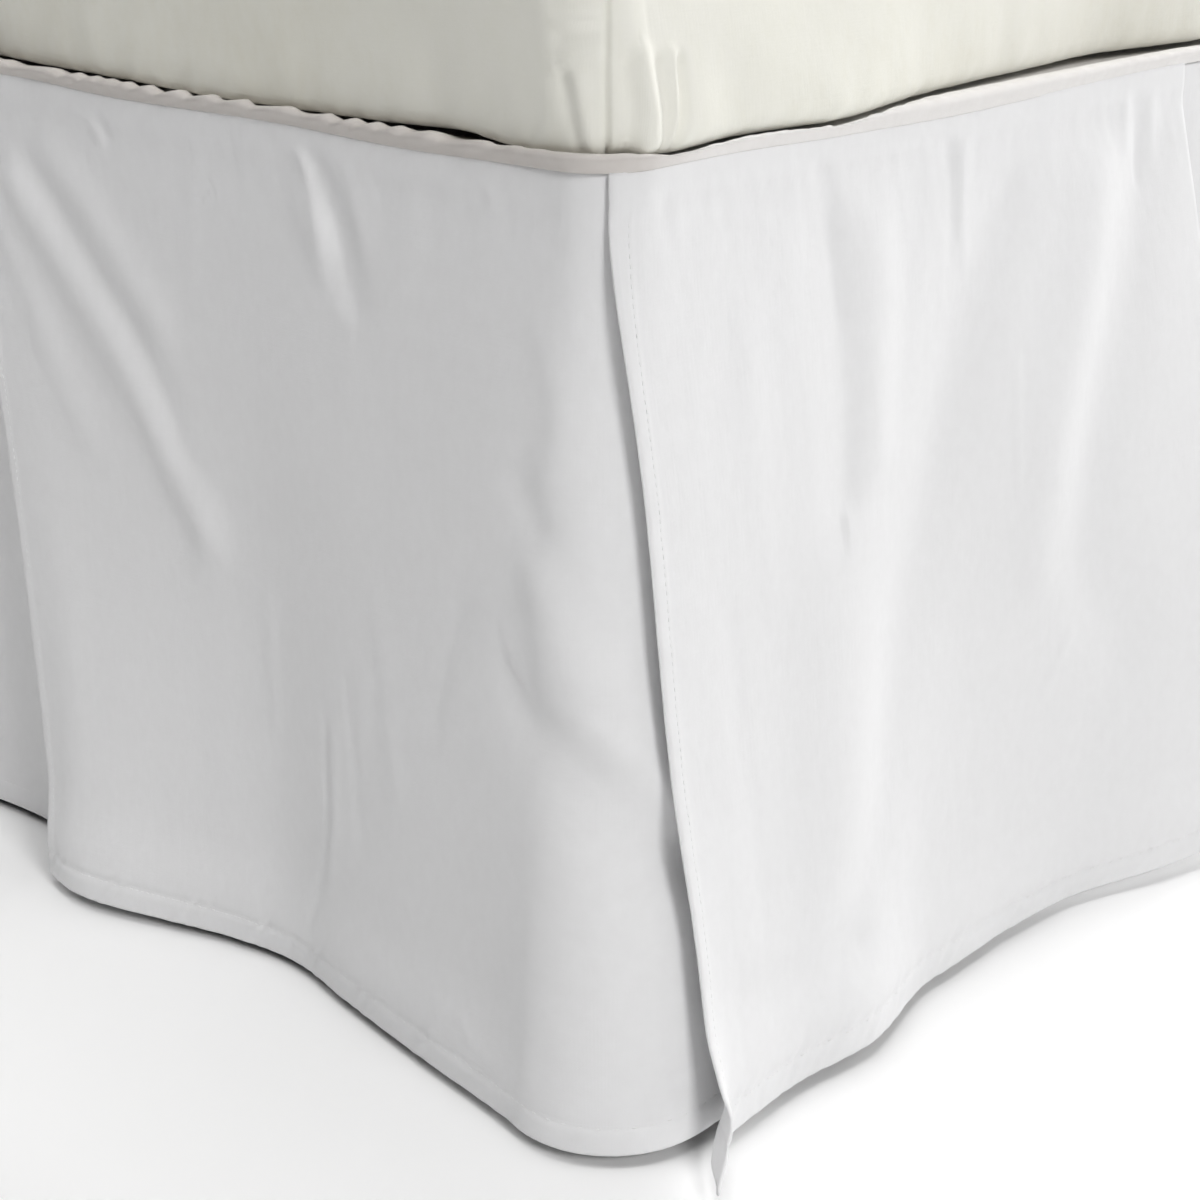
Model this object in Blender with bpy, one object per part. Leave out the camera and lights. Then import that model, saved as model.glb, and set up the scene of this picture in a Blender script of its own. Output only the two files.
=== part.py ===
"""A tailored bed skirt with split corners, hanging on a plain box-spring bed under its mattress.

Metres, +Z up.  The floor is z = 0 and the origin is the middle of the centre leg's foot.
The head of the bed is towards +Y and its foot towards -Y.

The skirt is a flat deck cloth between box spring and mattress, with drop panels sewn to its
rim on three sides.  The seam line is one rail: it runs from the head end of the left side to
the foot, round the foot corner, along the foot, round the other corner and back to the head.
Every panel is placed by its run along that rail and its reach outside it.  At each split, one
panel's free edge hangs over a lap of the next one.
"""

import math
from collections import namedtuple

import bmesh
import bpy

# Bed: a queen size of 60 x 80 inches with a drop of 15 inches.
BED_WIDTH = 1.524
BED_LENGTH = 2.032
DROP = 0.381
HEM_CLEARANCE = 0.005
SEAM_Z = HEM_CLEARANCE + DROP
CORNER_RADIUS = 0.024

# Cloth and the spaces between what touches.
CLOTH = 0.0015
SEAT_GAP = 0.0003
LAYER_STEP = 0.0022
EDGE_CLEARANCE = 0.0023
OVER = -CLOTH / 2
UNDER = OVER - LAYER_STEP
BOX_REACH = UNDER - CLOTH / 2 - EDGE_CLEARANCE
RIM_REACH = 0.0008
SEAM_BAND = 0.013
FOLD_FADE = 0.030

# The hem stands out a little over its lowest stretch.
FLICK = 0.004
FLICK_DROP = 0.330
HEM_DROP = 0.368

# Runs along the rail.
SIDE_RUN = BED_LENGTH - CORNER_RADIUS
CORNER_RUN = CORNER_RADIUS * math.pi / 2
FOOT_RUN = BED_WIDTH - 2 * CORNER_RADIUS
FOOT_MIDDLE = SIDE_RUN + CORNER_RUN + FOOT_RUN / 2
RAIL_RUN = 2 * FOOT_MIDDLE
LEFT_CORNER = SIDE_RUN + CORNER_RUN / 2
RIGHT_CORNER = RAIL_RUN - LEFT_CORNER
SIDE_PANELS = 5
FOOT_PANELS = 4
SIDE_PITCH = LEFT_CORNER / SIDE_PANELS
FOOT_PITCH = (RIGHT_CORNER - LEFT_CORNER) / FOOT_PANELS
LAP = 0.100
LAP_BLEND = 0.060
SPLIT_SHIFT = 0.0025
CORNER_FOOT_CUT = 0.384

# How early below the seam a panel slips back from its free edge.
SIDE_HASTE = 1.6

# The foot's corner panel leaves the rail's round corner and hangs in one plane below it.
STRAIGHT_START = 0.0077
ARC_FADE = 0.045
TURN_FADE = 0.018
EDGE_SLIP_FADE = 0.075

# Mesh steps.
NEAR_STEP = 0.014
FAR_STEP = 0.034
CORNER_STEP = 0.0065
NEAR_ROWS = (0.0, 0.013, 0.028, 0.046, 0.067, 0.092, 0.120, 0.150, 0.182, 0.216, 0.250,
             0.282, 0.312, 0.337, 0.356, 0.368, 0.381)
FAR_ROWS = (0.0, 0.013, 0.045, 0.090, 0.150, 0.220, 0.290, 0.345, 0.381)

# Box spring, legs and mattress.
BOX_HEIGHT = 0.200
BOX_EDGE_ROUND = 0.004
BOX_CORNER_RADIUS = CORNER_RADIUS + BOX_REACH
LEG_TOP_RADIUS = 0.032
LEG_FOOT_RADIUS = 0.024
LEG_INSET = 0.140
LEG_SIDES = 20
MATTRESS_CORNER_RADIUS = 0.018
MATTRESS_LEAST_RADIUS = 0.004
MATTRESS_INSET = 0.008
MATTRESS_DRAW_IN = 0.010
MATTRESS_DRAW_RUN = 0.360
MATTRESS_CROWN_RADIUS = 0.120
MATTRESS_STEPS = (11, 15)
CORNER_STEPS = 4

# Small rises of the deck cloth between the mattress and the seam.
PUCKER_REACH = -0.005
PUCKER_HEIGHT = 0.0012
DECK_SEAT_REACH = -0.011
DECK_STEP = 0.045

# A section of a panel, `at` metres from its free edge: how far it stands outside the rail
# half way down and at the hem, and how far the hem has slipped back from the free edge.
Section = namedtuple("Section", "at middle hem slip")

CORNER_SIDE_SECTIONS = (
    Section(at=0.000, middle=0.017, hem=0.032, slip=0.065),
    Section(at=0.030, middle=0.017, hem=0.036, slip=0.060),
    Section(at=0.060, middle=0.014, hem=0.032, slip=0.052),
    Section(at=0.100, middle=0.010, hem=0.020, slip=0.045),
    Section(at=0.145, middle=0.006, hem=0.009, slip=0.032),
    Section(at=0.200, middle=0.003, hem=0.002, slip=0.018),
    Section(at=0.260, middle=0.006, hem=0.009, slip=0.006),
    Section(at=0.320, middle=0.009, hem=0.016, slip=0.000),
    Section(at=0.375, middle=0.012, hem=0.022, slip=0.000),
    Section(at=0.405, middle=0.013, hem=0.028, slip=0.000),
    Section(at=0.440, middle=0.011, hem=0.029, slip=0.000),
    Section(at=0.505, middle=0.008, hem=0.024, slip=0.000),
)
CORNER_FOOT_SECTIONS = (
    Section(at=0.000, middle=0.020, hem=0.046, slip=0.0),
    Section(at=0.012, middle=0.020, hem=0.0415, slip=0.0),
    Section(at=0.030, middle=0.020, hem=0.0385, slip=0.0),
    Section(at=0.070, middle=0.019, hem=0.037, slip=0.0),
    Section(at=0.115, middle=0.021, hem=0.042, slip=0.0),
    Section(at=0.165, middle=0.0155, hem=0.031, slip=0.0),
    Section(at=0.195, middle=0.015, hem=0.031, slip=0.0),
    Section(at=0.235, middle=0.020, hem=0.031, slip=0.0),
    Section(at=0.285, middle=0.027, hem=0.037, slip=0.0),
    Section(at=0.335, middle=0.035, hem=0.056, slip=0.0),
    Section(at=0.384, middle=0.042, hem=0.070, slip=0.0),
)

# How far the split's edge has slipped along the foot, `at` metres below the seam.
Slip = namedtuple("Slip", "at slip")
SPLIT_LINE = (
    Slip(0.010, 0.000), Slip(0.050, -0.003), Slip(0.120, 0.001), Slip(0.220, 0.003),
    Slip(0.290, 0.009), Slip(0.330, 0.010), Slip(0.381, 0.006),
)
BROAD_WAVE_SECTIONS = (
    Section(at=0.000, middle=0.015, hem=0.029, slip=0.040),
    Section(at=0.035, middle=0.016, hem=0.034, slip=0.034),
    Section(at=0.090, middle=0.011, hem=0.023, slip=0.024),
    Section(at=0.160, middle=0.006, hem=0.010, slip=0.014),
    Section(at=0.230, middle=0.006, hem=0.013, slip=0.006),
    Section(at=0.300, middle=0.009, hem=0.017, slip=0.000),
    Section(at=0.360, middle=0.005, hem=0.007, slip=0.000),
    Section(at=0.410, middle=-0.0025, hem=0.000, slip=0.000),
    Section(at=0.505, middle=-0.0030, hem=-0.001, slip=0.000),
)
DOUBLE_WAVE_SECTIONS = (
    Section(at=0.000, middle=0.014, hem=0.030, slip=0.030),
    Section(at=0.045, middle=0.015, hem=0.028, slip=0.026),
    Section(at=0.105, middle=0.008, hem=0.012, slip=0.018),
    Section(at=0.165, middle=0.009, hem=0.020, slip=0.010),
    Section(at=0.215, middle=0.011, hem=0.024, slip=0.006),
    Section(at=0.280, middle=0.005, hem=0.008, slip=0.002),
    Section(at=0.340, middle=0.006, hem=0.013, slip=0.000),
    Section(at=0.410, middle=0.000, hem=0.002, slip=0.000),
    Section(at=0.505, middle=-0.001, hem=0.000, slip=0.000),
)

# A soft fold: the line it follows, each point given as metres from the panel's free edge and
# metres below the seam, its height (a trough is negative) and its half width.
Fold = namedtuple("Fold", "path height width")

CORNER_SIDE_FOLDS = (
    Fold(path=((0.069, 0.023), (0.104, 0.058), (0.141, 0.094)), height=0.0022, width=0.012),
    Fold(path=((0.052, 0.036), (0.128, 0.107), (0.150, 0.150)), height=-0.0010, width=0.009),
    Fold(path=((0.043, 0.049), (0.113, 0.118), (0.160, 0.180)), height=0.0030, width=0.013),
    Fold(path=((0.243, 0.014), (0.253, 0.030), (0.260, 0.045)), height=0.0022, width=0.009),
    Fold(path=((0.258, 0.014), (0.270, 0.036), (0.275, 0.060)), height=-0.0022, width=0.010),
    Fold(path=((0.386, 0.150), (0.402, 0.186), (0.427, 0.240)), height=0.0026, width=0.012),
    Fold(path=((0.380, 0.196), (0.406, 0.230), (0.424, 0.262)), height=-0.0030, width=0.013),
)
CORNER_FOOT_FOLDS = (
    Fold(path=((0.108, 0.010), (0.120, 0.050), (0.120, 0.105), (0.116, 0.140)),
         height=-0.0024, width=0.013),
    Fold(path=((0.141, 0.020), (0.144, 0.060), (0.140, 0.125)), height=0.0018, width=0.013),
    Fold(path=((0.247, 0.018), (0.213, 0.078), (0.180, 0.148), (0.153, 0.211), (0.138, 0.278),
               (0.111, 0.328)), height=-0.0036, width=0.022),
    Fold(path=((0.308, 0.030), (0.295, 0.069), (0.265, 0.130), (0.251, 0.200)),
         height=0.0030, width=0.018),
    Fold(path=((0.351, 0.030), (0.317, 0.108), (0.294, 0.158), (0.287, 0.208), (0.312, 0.258)),
         height=-0.0034, width=0.020),
    Fold(path=((0.000, 0.366), (0.000, 0.381)), height=0.016, width=0.010),
)
BROAD_WAVE_FOLDS = (
    Fold(path=((0.300, 0.030), (0.255, 0.130), (0.215, 0.260)), height=-0.0040, width=0.028),
    Fold(path=((0.120, 0.030), (0.135, 0.120), (0.150, 0.220)), height=0.0034, width=0.026),
)
DOUBLE_WAVE_FOLDS = (
    Fold(path=((0.150, 0.050), (0.185, 0.140), (0.200, 0.260)), height=-0.0034, width=0.028),
    Fold(path=((0.315, 0.030), (0.290, 0.140), (0.270, 0.260)), height=0.0036, width=0.028),
)

# The form of one panel: its sections and the folds that lie over them.
Pattern = namedtuple("Pattern", "sections folds")

CORNER_SIDE = Pattern(CORNER_SIDE_SECTIONS, CORNER_SIDE_FOLDS)
FAR_CORNER_SIDE = Pattern(CORNER_SIDE_SECTIONS, BROAD_WAVE_FOLDS)
CORNER_FOOT = Pattern(CORNER_FOOT_SECTIONS, CORNER_FOOT_FOLDS)
BROAD_WAVE = Pattern(BROAD_WAVE_SECTIONS, BROAD_WAVE_FOLDS)
DOUBLE_WAVE = Pattern(DOUBLE_WAVE_SECTIONS, DOUBLE_WAVE_FOLDS)

# A drop panel: where its free edge is on the rail, which way the cloth goes from there,
# its cut width, how much of that lies under the next panel, its form, how strongly it
# waves, whether it hangs straight past the round corner, and its mesh steps.
Panel = namedtuple("Panel", "name edge way cut lap form strength straight step rows")

# A level of the mattress: its height, and how far it lies inside the plan outline.
Level = namedtuple("Level", "height inset")

MATTRESS_LEVELS = (
    Level(height=0.000, inset=0.048),
    Level(height=0.003, inset=0.030),
    Level(height=0.0055, inset=0.010),
    Level(height=0.009, inset=0.002),
    Level(height=0.018, inset=0.000),
    Level(height=0.055, inset=-0.005),
    Level(height=0.125, inset=-0.007),
    Level(height=0.190, inset=-0.004),
    Level(height=0.228, inset=0.003),
    Level(height=0.244, inset=0.014),
    Level(height=0.250, inset=0.034),
    Level(height=0.257, inset=0.160),
    Level(height=0.260, inset=0.400),
)


def clear_objects():
    for old in list(bpy.data.objects):
        bpy.data.objects.remove(old, do_unlink=True)


def surface_material(name, colour, roughness, metallic=0.0):
    material = bpy.data.materials.new(name)
    material.use_nodes = True
    shader = material.node_tree.nodes["Principled BSDF"]
    shader.inputs["Base Color"].default_value = (*colour, 1.0)
    shader.inputs["Roughness"].default_value = roughness
    shader.inputs["Metallic"].default_value = metallic
    material.diffuse_color = (*colour, 1.0)
    return material


def skirt_cotton():
    return surface_material("skirt_cotton", (0.86, 0.86, 0.87), 0.85)


def mattress_cotton():
    return surface_material("mattress_cotton", (0.80, 0.77, 0.68), 0.88)


def box_cloth():
    return surface_material("box_cloth", (0.62, 0.61, 0.59), 0.90)


def leg_wood():
    return surface_material("leg_wood", (0.30, 0.19, 0.11), 0.55)


def add_object(name, mesh_builder, material):
    """Turn a bmesh into a named object with outward faces."""
    bmesh.ops.recalc_face_normals(mesh_builder, faces=mesh_builder.faces[:])
    mesh = bpy.data.meshes.new(name)
    mesh_builder.to_mesh(mesh)
    mesh_builder.free()
    mesh.materials.append(material)
    placed = bpy.data.objects.new(name, mesh)
    bpy.context.scene.collection.objects.link(placed)
    return placed


def give_thickness(cloth):
    """Make a sheet solid, half of the cloth on either side of its surface."""
    solid = cloth.modifiers.new("cloth", "SOLIDIFY")
    solid.thickness = CLOTH
    solid.offset = 0.0
    solid.use_even_offset = True
    solid.use_quality_normals = True
    cloth.data.shade_smooth()


def smooth_step(value):
    value = min(max(value, 0.0), 1.0)
    return value * value * (3 - 2 * value)


def rail_point(run, reach):
    """Plan position `run` metres along the seam and `reach` metres outside it."""
    mirrored = run > FOOT_MIDDLE
    near = RAIL_RUN - run if mirrored else run
    if near <= SIDE_RUN:
        x = -BED_WIDTH / 2 - reach
        y = BED_LENGTH / 2 - near
    elif near <= SIDE_RUN + CORNER_RUN:
        turn = (near - SIDE_RUN) / CORNER_RADIUS
        radius = CORNER_RADIUS + reach
        x = -BED_WIDTH / 2 + CORNER_RADIUS - radius * math.cos(turn)
        y = -BED_LENGTH / 2 + CORNER_RADIUS - radius * math.sin(turn)
    else:
        x = -BED_WIDTH / 2 + CORNER_RADIUS + near - SIDE_RUN - CORNER_RUN
        y = -BED_LENGTH / 2 - reach
    return (-x if mirrored else x), y


def rail_stations(start, end, step):
    """Runs from start to end, closer together where the rail goes round a corner."""
    bends = (SIDE_RUN, SIDE_RUN + CORNER_RUN, RAIL_RUN - SIDE_RUN - CORNER_RUN, RAIL_RUN - SIDE_RUN)
    stops = [start] + [bend for bend in bends if start < bend < end] + [end]
    stations = [start]
    for low, high in zip(stops, stops[1:]):
        middle = (low + high) / 2
        turning = bends[0] < middle < bends[1] or bends[2] < middle < bends[3]
        count = math.ceil((high - low) / (CORNER_STEP if turning else step))
        stations += [low + (high - low) * i / count for i in range(1, count + 1)]
    return stations


def curve(places, values, at):
    """A smooth curve through the values given at some places."""
    at = min(max(at, places[0]), places[-1])
    k = max(i for i in range(len(places) - 1) if places[i] <= at)

    def slope(i):
        low, high = max(i - 1, 0), min(i + 1, len(places) - 1)
        return (values[high] - values[low]) / (places[high] - places[low])

    width = places[k + 1] - places[k]
    t = (at - places[k]) / width
    rise = values[k + 1] - values[k]
    bend_low = slope(k) * width - rise
    bend_high = rise - slope(k + 1) * width
    return values[k] + t * rise + t * (1 - t) * (bend_low * (1 - t) + bend_high * t)


def between(rows, at, column):
    """A smooth curve through one column of a table whose first column is `at`."""
    return curve([row.at for row in rows], [getattr(row, column) for row in rows], at)


def gap_to_line(at, drop, start, end):
    """Distance from a place on a panel to a straight piece of a fold's path."""
    run, fall = end[0] - start[0], end[1] - start[1]
    along = ((at - start[0]) * run + (drop - start[1]) * fall) / (run * run + fall * fall)
    along = min(max(along, 0.0), 1.0)
    return math.hypot(at - start[0] - along * run, drop - start[1] - along * fall)


def fold_lift(folds, at, drop):
    """How far the folds lift the cloth at one place, fading out towards the seam."""
    lift = 0.0
    for fold in folds:
        pieces = zip(fold.path, fold.path[1:])
        nearest = min(gap_to_line(at, drop, start, end) for start, end in pieces)
        lift += fold.height * math.exp(-(nearest / fold.width) ** 2)
    return lift * smooth_step((drop - SEAM_BAND) / FOLD_FADE)


def wave_reach(panel, at, drop, down):
    """Reach of a panel given by its middle and hem, and the reach of its hem."""
    lapped = smooth_step((at - panel.cut + panel.lap + LAP_BLEND) / LAP_BLEND) if panel.lap else 0.0
    top = OVER + (UNDER - OVER) * lapped
    flick = FLICK * (1 - lapped)
    middle = panel.strength * between(panel.form.sections, at, "middle") - top
    hem = panel.strength * between(panel.form.sections, at, "hem") - top
    body = hem - flick
    reach = top + down * (4 * middle - body) + down * down * (2 * body - 4 * middle)
    reach += flick * smooth_step((drop - FLICK_DROP) / (HEM_DROP - FLICK_DROP))
    return reach, hem + top


def straight_point(at, drop, reach):
    """Plan position on the panel that hangs straight below the rail's round corner."""
    along = STRAIGHT_START + at
    inside = max(CORNER_RADIUS - along, 0.0)
    out = math.sqrt(CORNER_RADIUS ** 2 - inside ** 2)
    slip = between(SPLIT_LINE, drop, "slip") * math.exp(-(at / EDGE_SLIP_FADE) ** 2)
    back = (CORNER_RADIUS - out) * math.exp(-(drop / ARC_FADE) ** 2)
    turned = math.exp(-(drop / TURN_FADE) ** 2)
    aside = reach * turned * inside / CORNER_RADIUS
    ahead = reach * (1 - turned + turned * out / CORNER_RADIUS)
    return -BED_WIDTH / 2 + along + slip - aside, -BED_LENGTH / 2 + back - ahead


def panel_point(panel, at, drop):
    """A point of a panel's surface, `at` along its cut edge and `drop` below the seam."""
    down = max(drop - SEAM_BAND, 0.0) / (DROP - SEAM_BAND)
    reach, hem = wave_reach(panel, at, drop, down)
    reach += panel.strength * fold_lift(panel.form.folds, at, drop)
    slip = between(panel.form.sections, at, "slip") * (1 - (1 - down) ** SIDE_HASTE)
    if panel.straight:
        x, y = straight_point(at, drop, reach)
    else:
        x, y = rail_point(panel.edge + panel.way * (at + slip), reach)
    slope = hem / DROP
    return x, y, SEAM_Z - drop * math.sqrt(1 - slope * slope)


def drop_panel(panel, material):
    """One hemmed panel: a grid of cloth hanging from its stretch of the rail."""
    start = min(panel.edge, panel.edge + panel.way * panel.cut)
    runs = rail_stations(start, start + panel.cut, panel.step)
    builder = bmesh.new()
    grid = []
    for run in runs:
        at = abs(run - panel.edge)
        grid.append([builder.verts.new(panel_point(panel, at, drop)) for drop in panel.rows])
    for left, right in zip(grid, grid[1:]):
        for row in range(len(panel.rows) - 1):
            builder.faces.new((left[row], left[row + 1], right[row + 1], right[row]))
    give_thickness(add_object(panel.name, builder, material))


def skirt_panels():
    """The drop panels, counted from the foot corners towards the head and across the foot."""
    left_forms = (CORNER_SIDE, BROAD_WAVE, DOUBLE_WAVE, BROAD_WAVE, DOUBLE_WAVE)
    right_forms = (FAR_CORNER_SIDE,) + left_forms[1:]
    left_strengths = (1.00, 0.92, 1.05, 0.80, 0.75)
    right_strengths = (0.85, 1.00, 0.78, 1.08, 0.70)
    side_cut = SIDE_PITCH + LAP
    foot_cut = FOOT_PITCH + LAP
    panels = []
    for i in range(SIDE_PANELS):
        edge = LEFT_CORNER - SIDE_PITCH * (i + 1)
        step, rows = (FAR_STEP, FAR_ROWS) if i else (NEAR_STEP, NEAR_ROWS)
        panels.append(Panel(f"skirt_left_{i + 1}", edge, 1, side_cut, LAP, left_forms[i],
                            left_strengths[i], False, step, rows))
        panels.append(Panel(f"skirt_right_{i + 1}", RAIL_RUN - edge, -1, side_cut, LAP,
                            right_forms[i], right_strengths[i], False, FAR_STEP, FAR_ROWS))
    panels.append(Panel("skirt_foot_1", LEFT_CORNER + SPLIT_SHIFT, 1, CORNER_FOOT_CUT, 0.0,
                        CORNER_FOOT, 1.0, True, NEAR_STEP, NEAR_ROWS))
    foot_forms = (BROAD_WAVE, DOUBLE_WAVE, BROAD_WAVE)
    foot_strengths = (0.90, 1.00, 1.15)
    for i, form in enumerate(foot_forms):
        edge = LEFT_CORNER + FOOT_PITCH * (i + 2)
        panels.append(Panel(f"skirt_foot_{i + 2}", edge, -1, foot_cut, LAP, form,
                            foot_strengths[i], False, FAR_STEP, FAR_ROWS))
    return panels


def pucker(run):
    """Height of the deck cloth's small rises beside the seam."""
    wave = math.sin(run * 47.0) + math.sin(run * 83.0 + 1.3)
    return PUCKER_HEIGHT * (1 + 0.5 * wave)


def skirt_deck(material):
    """The flat cloth on the box spring, its rim standing just over the panels' top edges."""
    level = SEAM_Z + SEAT_GAP + CLOTH / 2
    builder = bmesh.new()
    rings = []
    for run in rail_stations(0.0, RAIL_RUN, DECK_STEP):
        rim = builder.verts.new((*rail_point(run, RIM_REACH), level))
        rise = builder.verts.new((*rail_point(run, PUCKER_REACH), level + pucker(run)))
        seat = builder.verts.new((*rail_point(run, DECK_SEAT_REACH), level))
        rings.append((rim, rise, seat))
    for left, right in zip(rings, rings[1:]):
        for row in range(2):
            builder.faces.new((left[row], right[row], right[row + 1], left[row + 1]))
    builder.faces.new([ring[2] for ring in rings])
    give_thickness(add_object("skirt_deck", builder, material))


def rounded_plan(half_x, half_y, radius, side_steps):
    """A rounded rectangle: plan points, each with its outward direction."""
    points = []
    for quarter in range(4):
        facing = quarter * math.pi / 2
        centre_x = (half_x - radius) * (1, -1, -1, 1)[quarter]
        centre_y = (half_y - radius) * (1, 1, -1, -1)[quarter]
        for i in range(CORNER_STEPS + 1):
            angle = facing + math.pi / 2 * i / CORNER_STEPS
            out_x, out_y = math.cos(angle), math.sin(angle)
            points.append((centre_x + radius * out_x, centre_y + radius * out_y, out_x, out_y))
        x, y, out_x, out_y = points[-1]
        run = 2 * ((half_y if quarter % 2 else half_x) - radius)
        count = side_steps[quarter % 2]
        for i in range(1, count):
            points.append((x - out_y * run * i / count, y + out_x * run * i / count, out_x, out_y))
    return points


def stacked_rings(builder, rings):
    """Join rings of points from the bottom up and close the first and the last one."""
    loops = [[builder.verts.new(point) for point in ring] for ring in rings]
    for low, high in zip(loops, loops[1:]):
        for i in range(len(low)):
            j = (i + 1) % len(low)
            builder.faces.new((low[i], low[j], high[j], high[i]))
    builder.faces.new(loops[0])
    builder.faces.new(loops[-1])


def box_spring(material):
    """The plain upholstered base: a rigid box with rounded corners and edges."""
    half_x = BED_WIDTH / 2 + BOX_REACH
    half_y = (BED_LENGTH + BOX_REACH) / 2
    bottom = SEAM_Z - BOX_HEIGHT
    levels = ((bottom, BOX_EDGE_ROUND), (bottom + BOX_EDGE_ROUND, 0.0),
              (SEAM_Z - BOX_EDGE_ROUND, 0.0), (SEAM_Z, BOX_EDGE_ROUND))
    rings = []
    for z, inset in levels:
        plan = rounded_plan(half_x - inset, half_y - inset, BOX_CORNER_RADIUS - inset, (1, 1))
        rings.append([(x, y - BOX_REACH / 2, z) for x, y, _, _ in plan])
    builder = bmesh.new()
    stacked_rings(builder, rings)
    add_object("box_spring", builder, material)


def mattress_ring(level, bottom):
    """One level of the mattress, drawn in between the corners."""
    half_x = BED_WIDTH / 2 - MATTRESS_INSET - level.inset
    half_y = BED_LENGTH / 2 - MATTRESS_INSET - level.inset
    radius = max(MATTRESS_CORNER_RADIUS - level.inset, MATTRESS_LEAST_RADIUS)
    if level.inset > MATTRESS_CROWN_RADIUS:
        radius = MATTRESS_CROWN_RADIUS
    ring = []
    for x, y, out_x, out_y in rounded_plan(half_x, half_y, radius, MATTRESS_STEPS):
        from_corner = min(half_x - abs(x) if abs(out_y) > abs(out_x) else half_y - abs(y),
                          MATTRESS_DRAW_RUN)
        drawn = MATTRESS_DRAW_IN * smooth_step(from_corner / MATTRESS_DRAW_RUN)
        ring.append((x - out_x * drawn, y - out_y * drawn, bottom + level.height))
    return ring


def mattress(material):
    """The mattress: crowned on top, its sides swelling in height and drawn in along the plan."""
    bottom = SEAM_Z + CLOTH + 2 * SEAT_GAP
    builder = bmesh.new()
    stacked_rings(builder, [mattress_ring(level, bottom) for level in MATTRESS_LEVELS])
    add_object("mattress", builder, material).data.shade_smooth()


def legs(material):
    """Four legs under the corners and one under the middle, each a tapered round post."""
    reach_x = BED_WIDTH / 2 - LEG_INSET
    reach_y = BED_LENGTH / 2 - LEG_INSET
    places = (("leg_centre", 0.0, 0.0), ("leg_head_left", -reach_x, reach_y),
              ("leg_head_right", reach_x, reach_y), ("leg_foot_left", -reach_x, -reach_y),
              ("leg_foot_right", reach_x, -reach_y))
    height = SEAM_Z - BOX_HEIGHT - SEAT_GAP
    for name, x, y in places:
        builder = bmesh.new()
        bmesh.ops.create_cone(builder, cap_ends=True, segments=LEG_SIDES, radius1=LEG_FOOT_RADIUS,
                              radius2=LEG_TOP_RADIUS, depth=height)
        leg = add_object(name, builder, material)
        leg.location = (x, y, height / 2)


def build():
    clear_objects()
    cotton = skirt_cotton()
    for panel in skirt_panels():
        drop_panel(panel, cotton)
    skirt_deck(cotton)
    box_spring(box_cloth())
    mattress(mattress_cotton())
    legs(leg_wood())


build()
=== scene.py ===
"""The looks of the tailored bed skirt on its bed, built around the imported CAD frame.

Metres, +Z up, in the frame of the CAD.  The skirt's panels and deck are thin sheets of cloth on
the folds of their solids, with finer creases, puckers, hems and stitches of their own.
"""

import math
from collections import namedtuple

import bmesh
import bpy
import numpy as np
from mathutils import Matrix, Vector


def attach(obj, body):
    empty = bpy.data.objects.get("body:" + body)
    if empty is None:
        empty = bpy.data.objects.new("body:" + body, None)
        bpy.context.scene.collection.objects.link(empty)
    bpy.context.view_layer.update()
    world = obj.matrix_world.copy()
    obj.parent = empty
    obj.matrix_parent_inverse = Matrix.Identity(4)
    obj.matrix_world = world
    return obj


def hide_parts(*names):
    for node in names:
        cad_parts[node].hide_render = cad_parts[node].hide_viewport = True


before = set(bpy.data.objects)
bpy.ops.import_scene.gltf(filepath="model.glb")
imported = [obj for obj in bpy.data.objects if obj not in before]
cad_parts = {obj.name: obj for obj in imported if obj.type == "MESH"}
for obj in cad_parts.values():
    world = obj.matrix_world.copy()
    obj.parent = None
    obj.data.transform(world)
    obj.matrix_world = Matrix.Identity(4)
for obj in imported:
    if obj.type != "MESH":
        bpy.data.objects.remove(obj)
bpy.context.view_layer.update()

# --- sizes that repeat the solids' own ------------------------------------------------------

BED_WIDTH = 1.524
BED_LENGTH = 2.032
DROP = 0.381
SEAM_Z = 0.386
CORNER_RADIUS = 0.024
CLOTH = 0.0015
SEAT_GAP = 0.0003
OVER = -CLOTH / 2
UNDER = OVER - 0.0022
DEEPEST = 0.0030
LAP_BEHIND = 0.0017
LAP_START = 0.250
SINK_ROOM = 0.0024
SEAM_BAND = 0.013
FOLD_FADE = 0.030
FLICK = 0.004
FLICK_DROP = 0.330
HEM_DROP = 0.368

SIDE_RUN = BED_LENGTH - CORNER_RADIUS
CORNER_RUN = CORNER_RADIUS * math.pi / 2
FOOT_RUN = BED_WIDTH - 2 * CORNER_RADIUS
FOOT_MIDDLE = SIDE_RUN + CORNER_RUN + FOOT_RUN / 2
RAIL_RUN = 2 * FOOT_MIDDLE
LEFT_CORNER = SIDE_RUN + CORNER_RUN / 2
RIGHT_CORNER = RAIL_RUN - LEFT_CORNER
SIDE_PANELS = 5
SIDE_PITCH = LEFT_CORNER / SIDE_PANELS
FOOT_PITCH = (RIGHT_CORNER - LEFT_CORNER) / 4
LAP = 0.100
LAP_BLEND = 0.060
SPLIT_SHIFT = 0.0025
CORNER_FOOT_CUT = 0.384
SIDE_HASTE = 1.6
STRAIGHT_START = 0.0077
ARC_FADE = 0.045
EDGE_SLIP_FADE = 0.075
TURN_FADE = 0.018
TIP_ACROSS = 0.0150
TIP_SLIP = 0.030

# --- sizes of the finer cloth ----------------------------------------------------------------

SHEET_THICK = 0.0007
HEM_EXTRA = 0.0007
SIDE_HEM = 0.0068
BOTTOM_HEM = 0.0125
NEAR_COLUMN = 0.0021
NEAR_ROW = 0.0030
FAR_COLUMN = 0.0046
FAR_ROW = 0.0100
EDGE_ROW = 0.0026
STITCH_PITCH = 0.0034
STITCH_LENGTH = 0.0024
STITCH_WIDTH = 0.00042
STITCH_INSET = 0.0011
STITCH_DENT = 0.00036

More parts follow.
